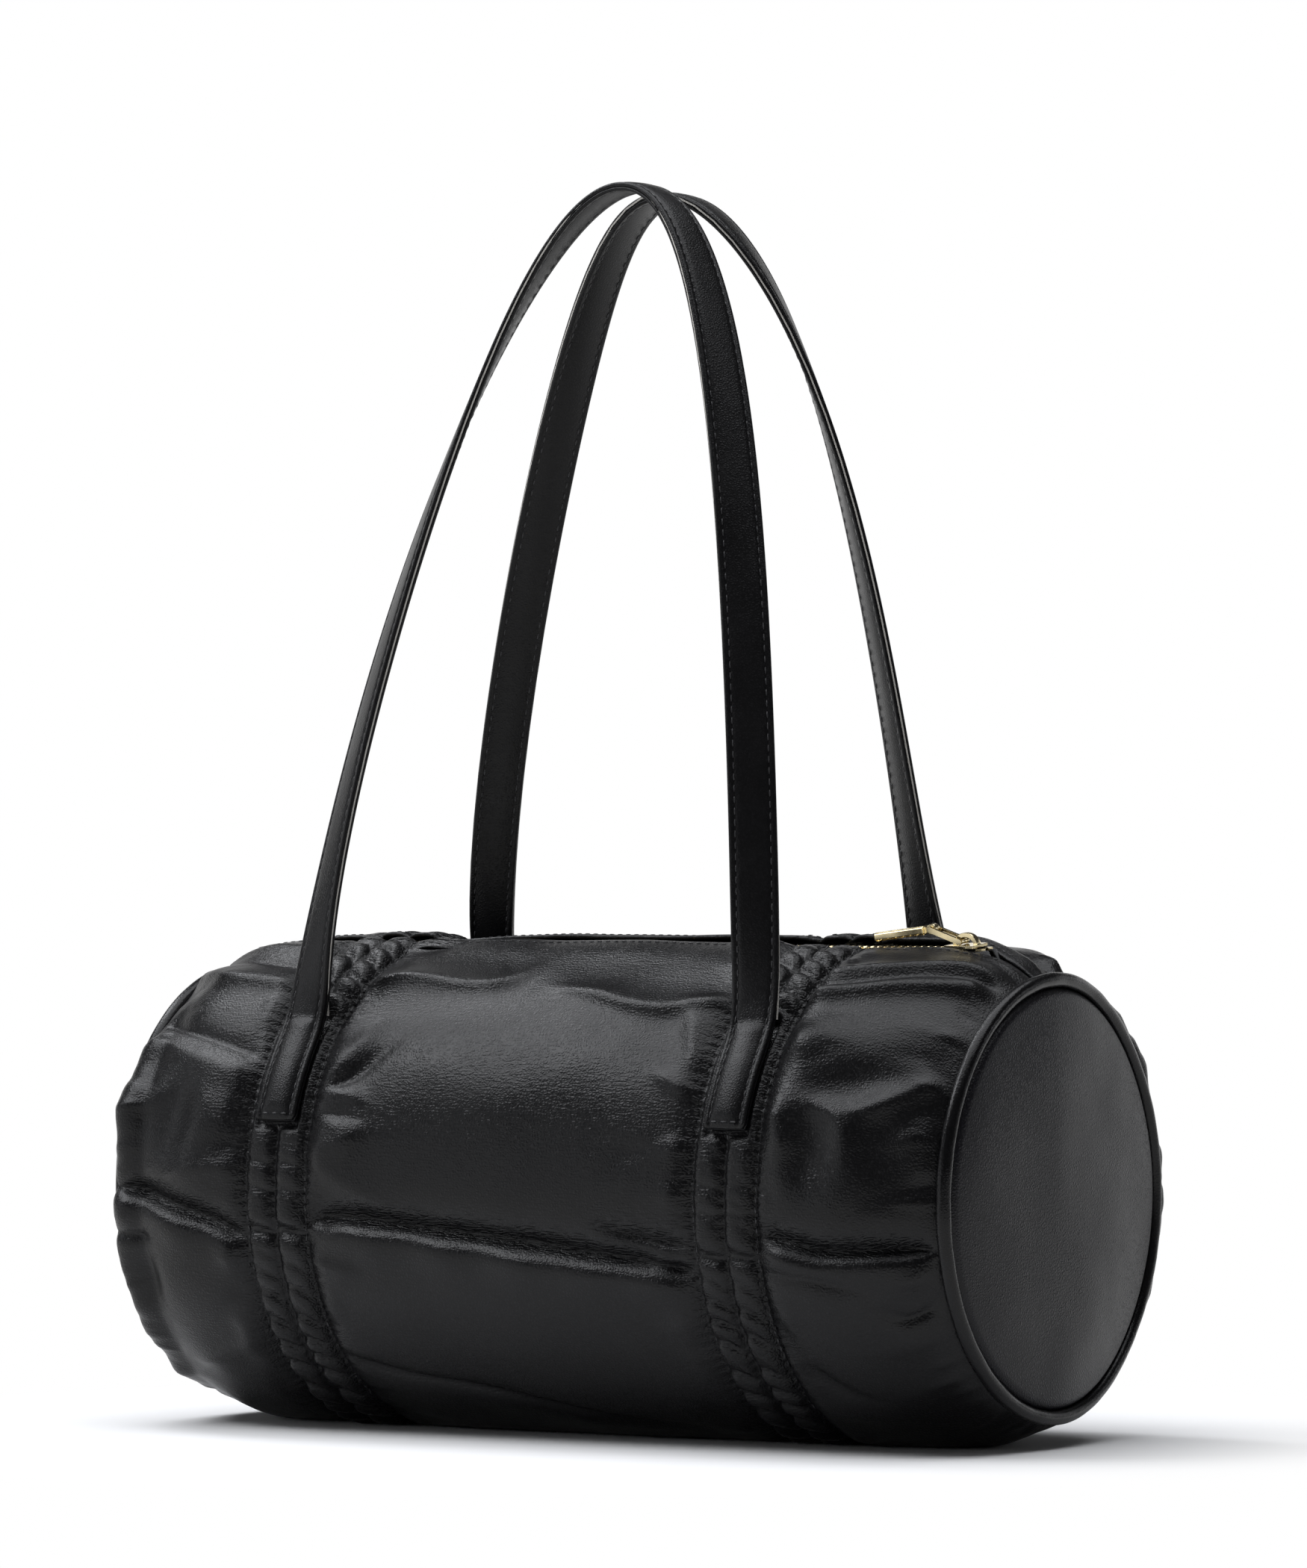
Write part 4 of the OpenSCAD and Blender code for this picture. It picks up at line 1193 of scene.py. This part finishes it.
for side, word in ends:
    band_elastics(side, word)

# %% Finishes of the nodes that stay
kept = {
    "zip_top_stops": gold, "zip_bottom_stop": gold,
    "front_strap_core": filler_felt, "back_strap_core": filler_felt,
    "front_strap_patches": filler_felt, "back_strap_patches": filler_felt,
}
for node, finish in kept.items():
    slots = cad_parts[node].data.materials
    slots.clear()
    slots.append(finish)
print("kept nodes:", len(kept))

# %% [markdown]
# ## Floor and light
#
# The bag stands on a white sweep. Near the bag the floor is an ordinary pale surface that takes
# the shadow, and further away it fades to plain white for the camera. Soft lamps stand
# where the highlights in the photograph say: a large one high at the left, a narrow one beside
# it that draws thin bright lines on the crests, a low one at the far left for the sides of
# the rolls, a broad one overhead that keeps the shadow soft, two weak ones behind at the right
# for the disc, and a weak one in front at the left.

# %% Floor and backdrop
def white_paint(name, near, far):
    """White for the camera beyond far, and plain pale paint nearer than near."""
    material, add = new_finish(name)
    spot = add("TexCoord").outputs["Object"]
    away = add("VectorMath", {"operation": "LENGTH"}, i0=spot)
    fade = add("MapRange", {"interpolation_type": "SMOOTHSTEP"}, Value=away.outputs["Value"],
               From_Min=near, From_Max=far)
    path = add("LightPath")
    seen = add("Math", {"operation": "MAXIMUM"}, i0=path.outputs["Is Camera Ray"],
               i1=path.outputs["Is Glossy Ray"])
    share = add("Math", {"operation": "MULTIPLY"}, i0=seen.outputs[0], i1=fade.outputs[0])
    paint = add("BsdfDiffuse", Color=(0.93, 0.93, 0.93, 1))
    white = add("Emission", Color=(1, 1, 1, 1), Strength=1.0)
    mix = add("MixShader", Fac=share.outputs[0], i1=paint.outputs[0], i2=white.outputs[0])
    finish_with(add, mix)
    return material


floor_half, backdrop_away, backdrop_w, backdrop_h = 12.0, 9.0, 21.6, 7.2
studio_white = white_paint("studio_white", 0.16, 0.29)
floor_bm = bmesh.new()
bmesh.ops.create_grid(floor_bm, x_segments=2, y_segments=2, size=floor_half)
floor = piece("floor", floor_bm, studio_white, smooth=False)
backdrop_bm = bmesh.new()
stand = Matrix.Rotation(camera_turn, 4, "Z") @ Matrix.Translation((0, backdrop_away, 0)) \
    @ Matrix.Rotation(math.pi / 2, 4, "X") @ Matrix.Diagonal((backdrop_w / 2, backdrop_h / 2, 1, 1))
bmesh.ops.create_grid(backdrop_bm, x_segments=2, y_segments=2, size=1.0, matrix=stand)
backdrop = piece("backdrop", backdrop_bm, studio_white, smooth=False)

# %% World and lamps
world = bpy.data.worlds.new("studio")
scene.world = world
world.use_nodes = True
room = world.node_tree.nodes["Background"].inputs
room["Color"].default_value = (1, 1, 1, 1)
room["Strength"].default_value = 0.04


def soft_lamp(name, place, aim, size, power):
    """A rectangular lamp at place, facing aim, with its power in watts."""
    lamp = bpy.data.objects.new(name, bpy.data.lights.new(name, "AREA"))
    lamp.data.shape = "RECTANGLE"
    lamp.data.size, lamp.data.size_y = size
    lamp.data.energy = power
    lamp.data.color = (0.95, 0.965, 1.0)
    lamp.location = place
    lamp.rotation_euler = (Vector(aim) - Vector(place)).to_track_quat("-Z", "Y").to_euler()
    scene.collection.objects.link(lamp)


soft_lamp("key", (-1.2, -0.8, 1.7), (0, 0, 0.12), (1.2, 0.9), 23)
soft_lamp("over", (-1.05, 0.3, 1.6), (0, 0, 0.12), (0.35, 1.1), 10)
soft_lamp("side", (-2.0, -0.85, 0.55), (0, 0, 0.1), (0.5, 1.0), 3)
soft_lamp("top", (0.1, 0.1, 2.0), (0, 0, 0.1), (2.0, 2.0), 35)
soft_lamp("rim", (0.75, 2.0, 0.5), (0.15, 0, 0.1), (0.7, 1.1), 1.2)
soft_lamp("glint", (1.55, 1.43, 0.64), (0.16, 0, 0.12), (0.3, 0.4), 1.3)
soft_lamp("fill", (-1.3, -2.0, 0.45), (0, 0, 0.1), (1.2, 0.7), 3.5)
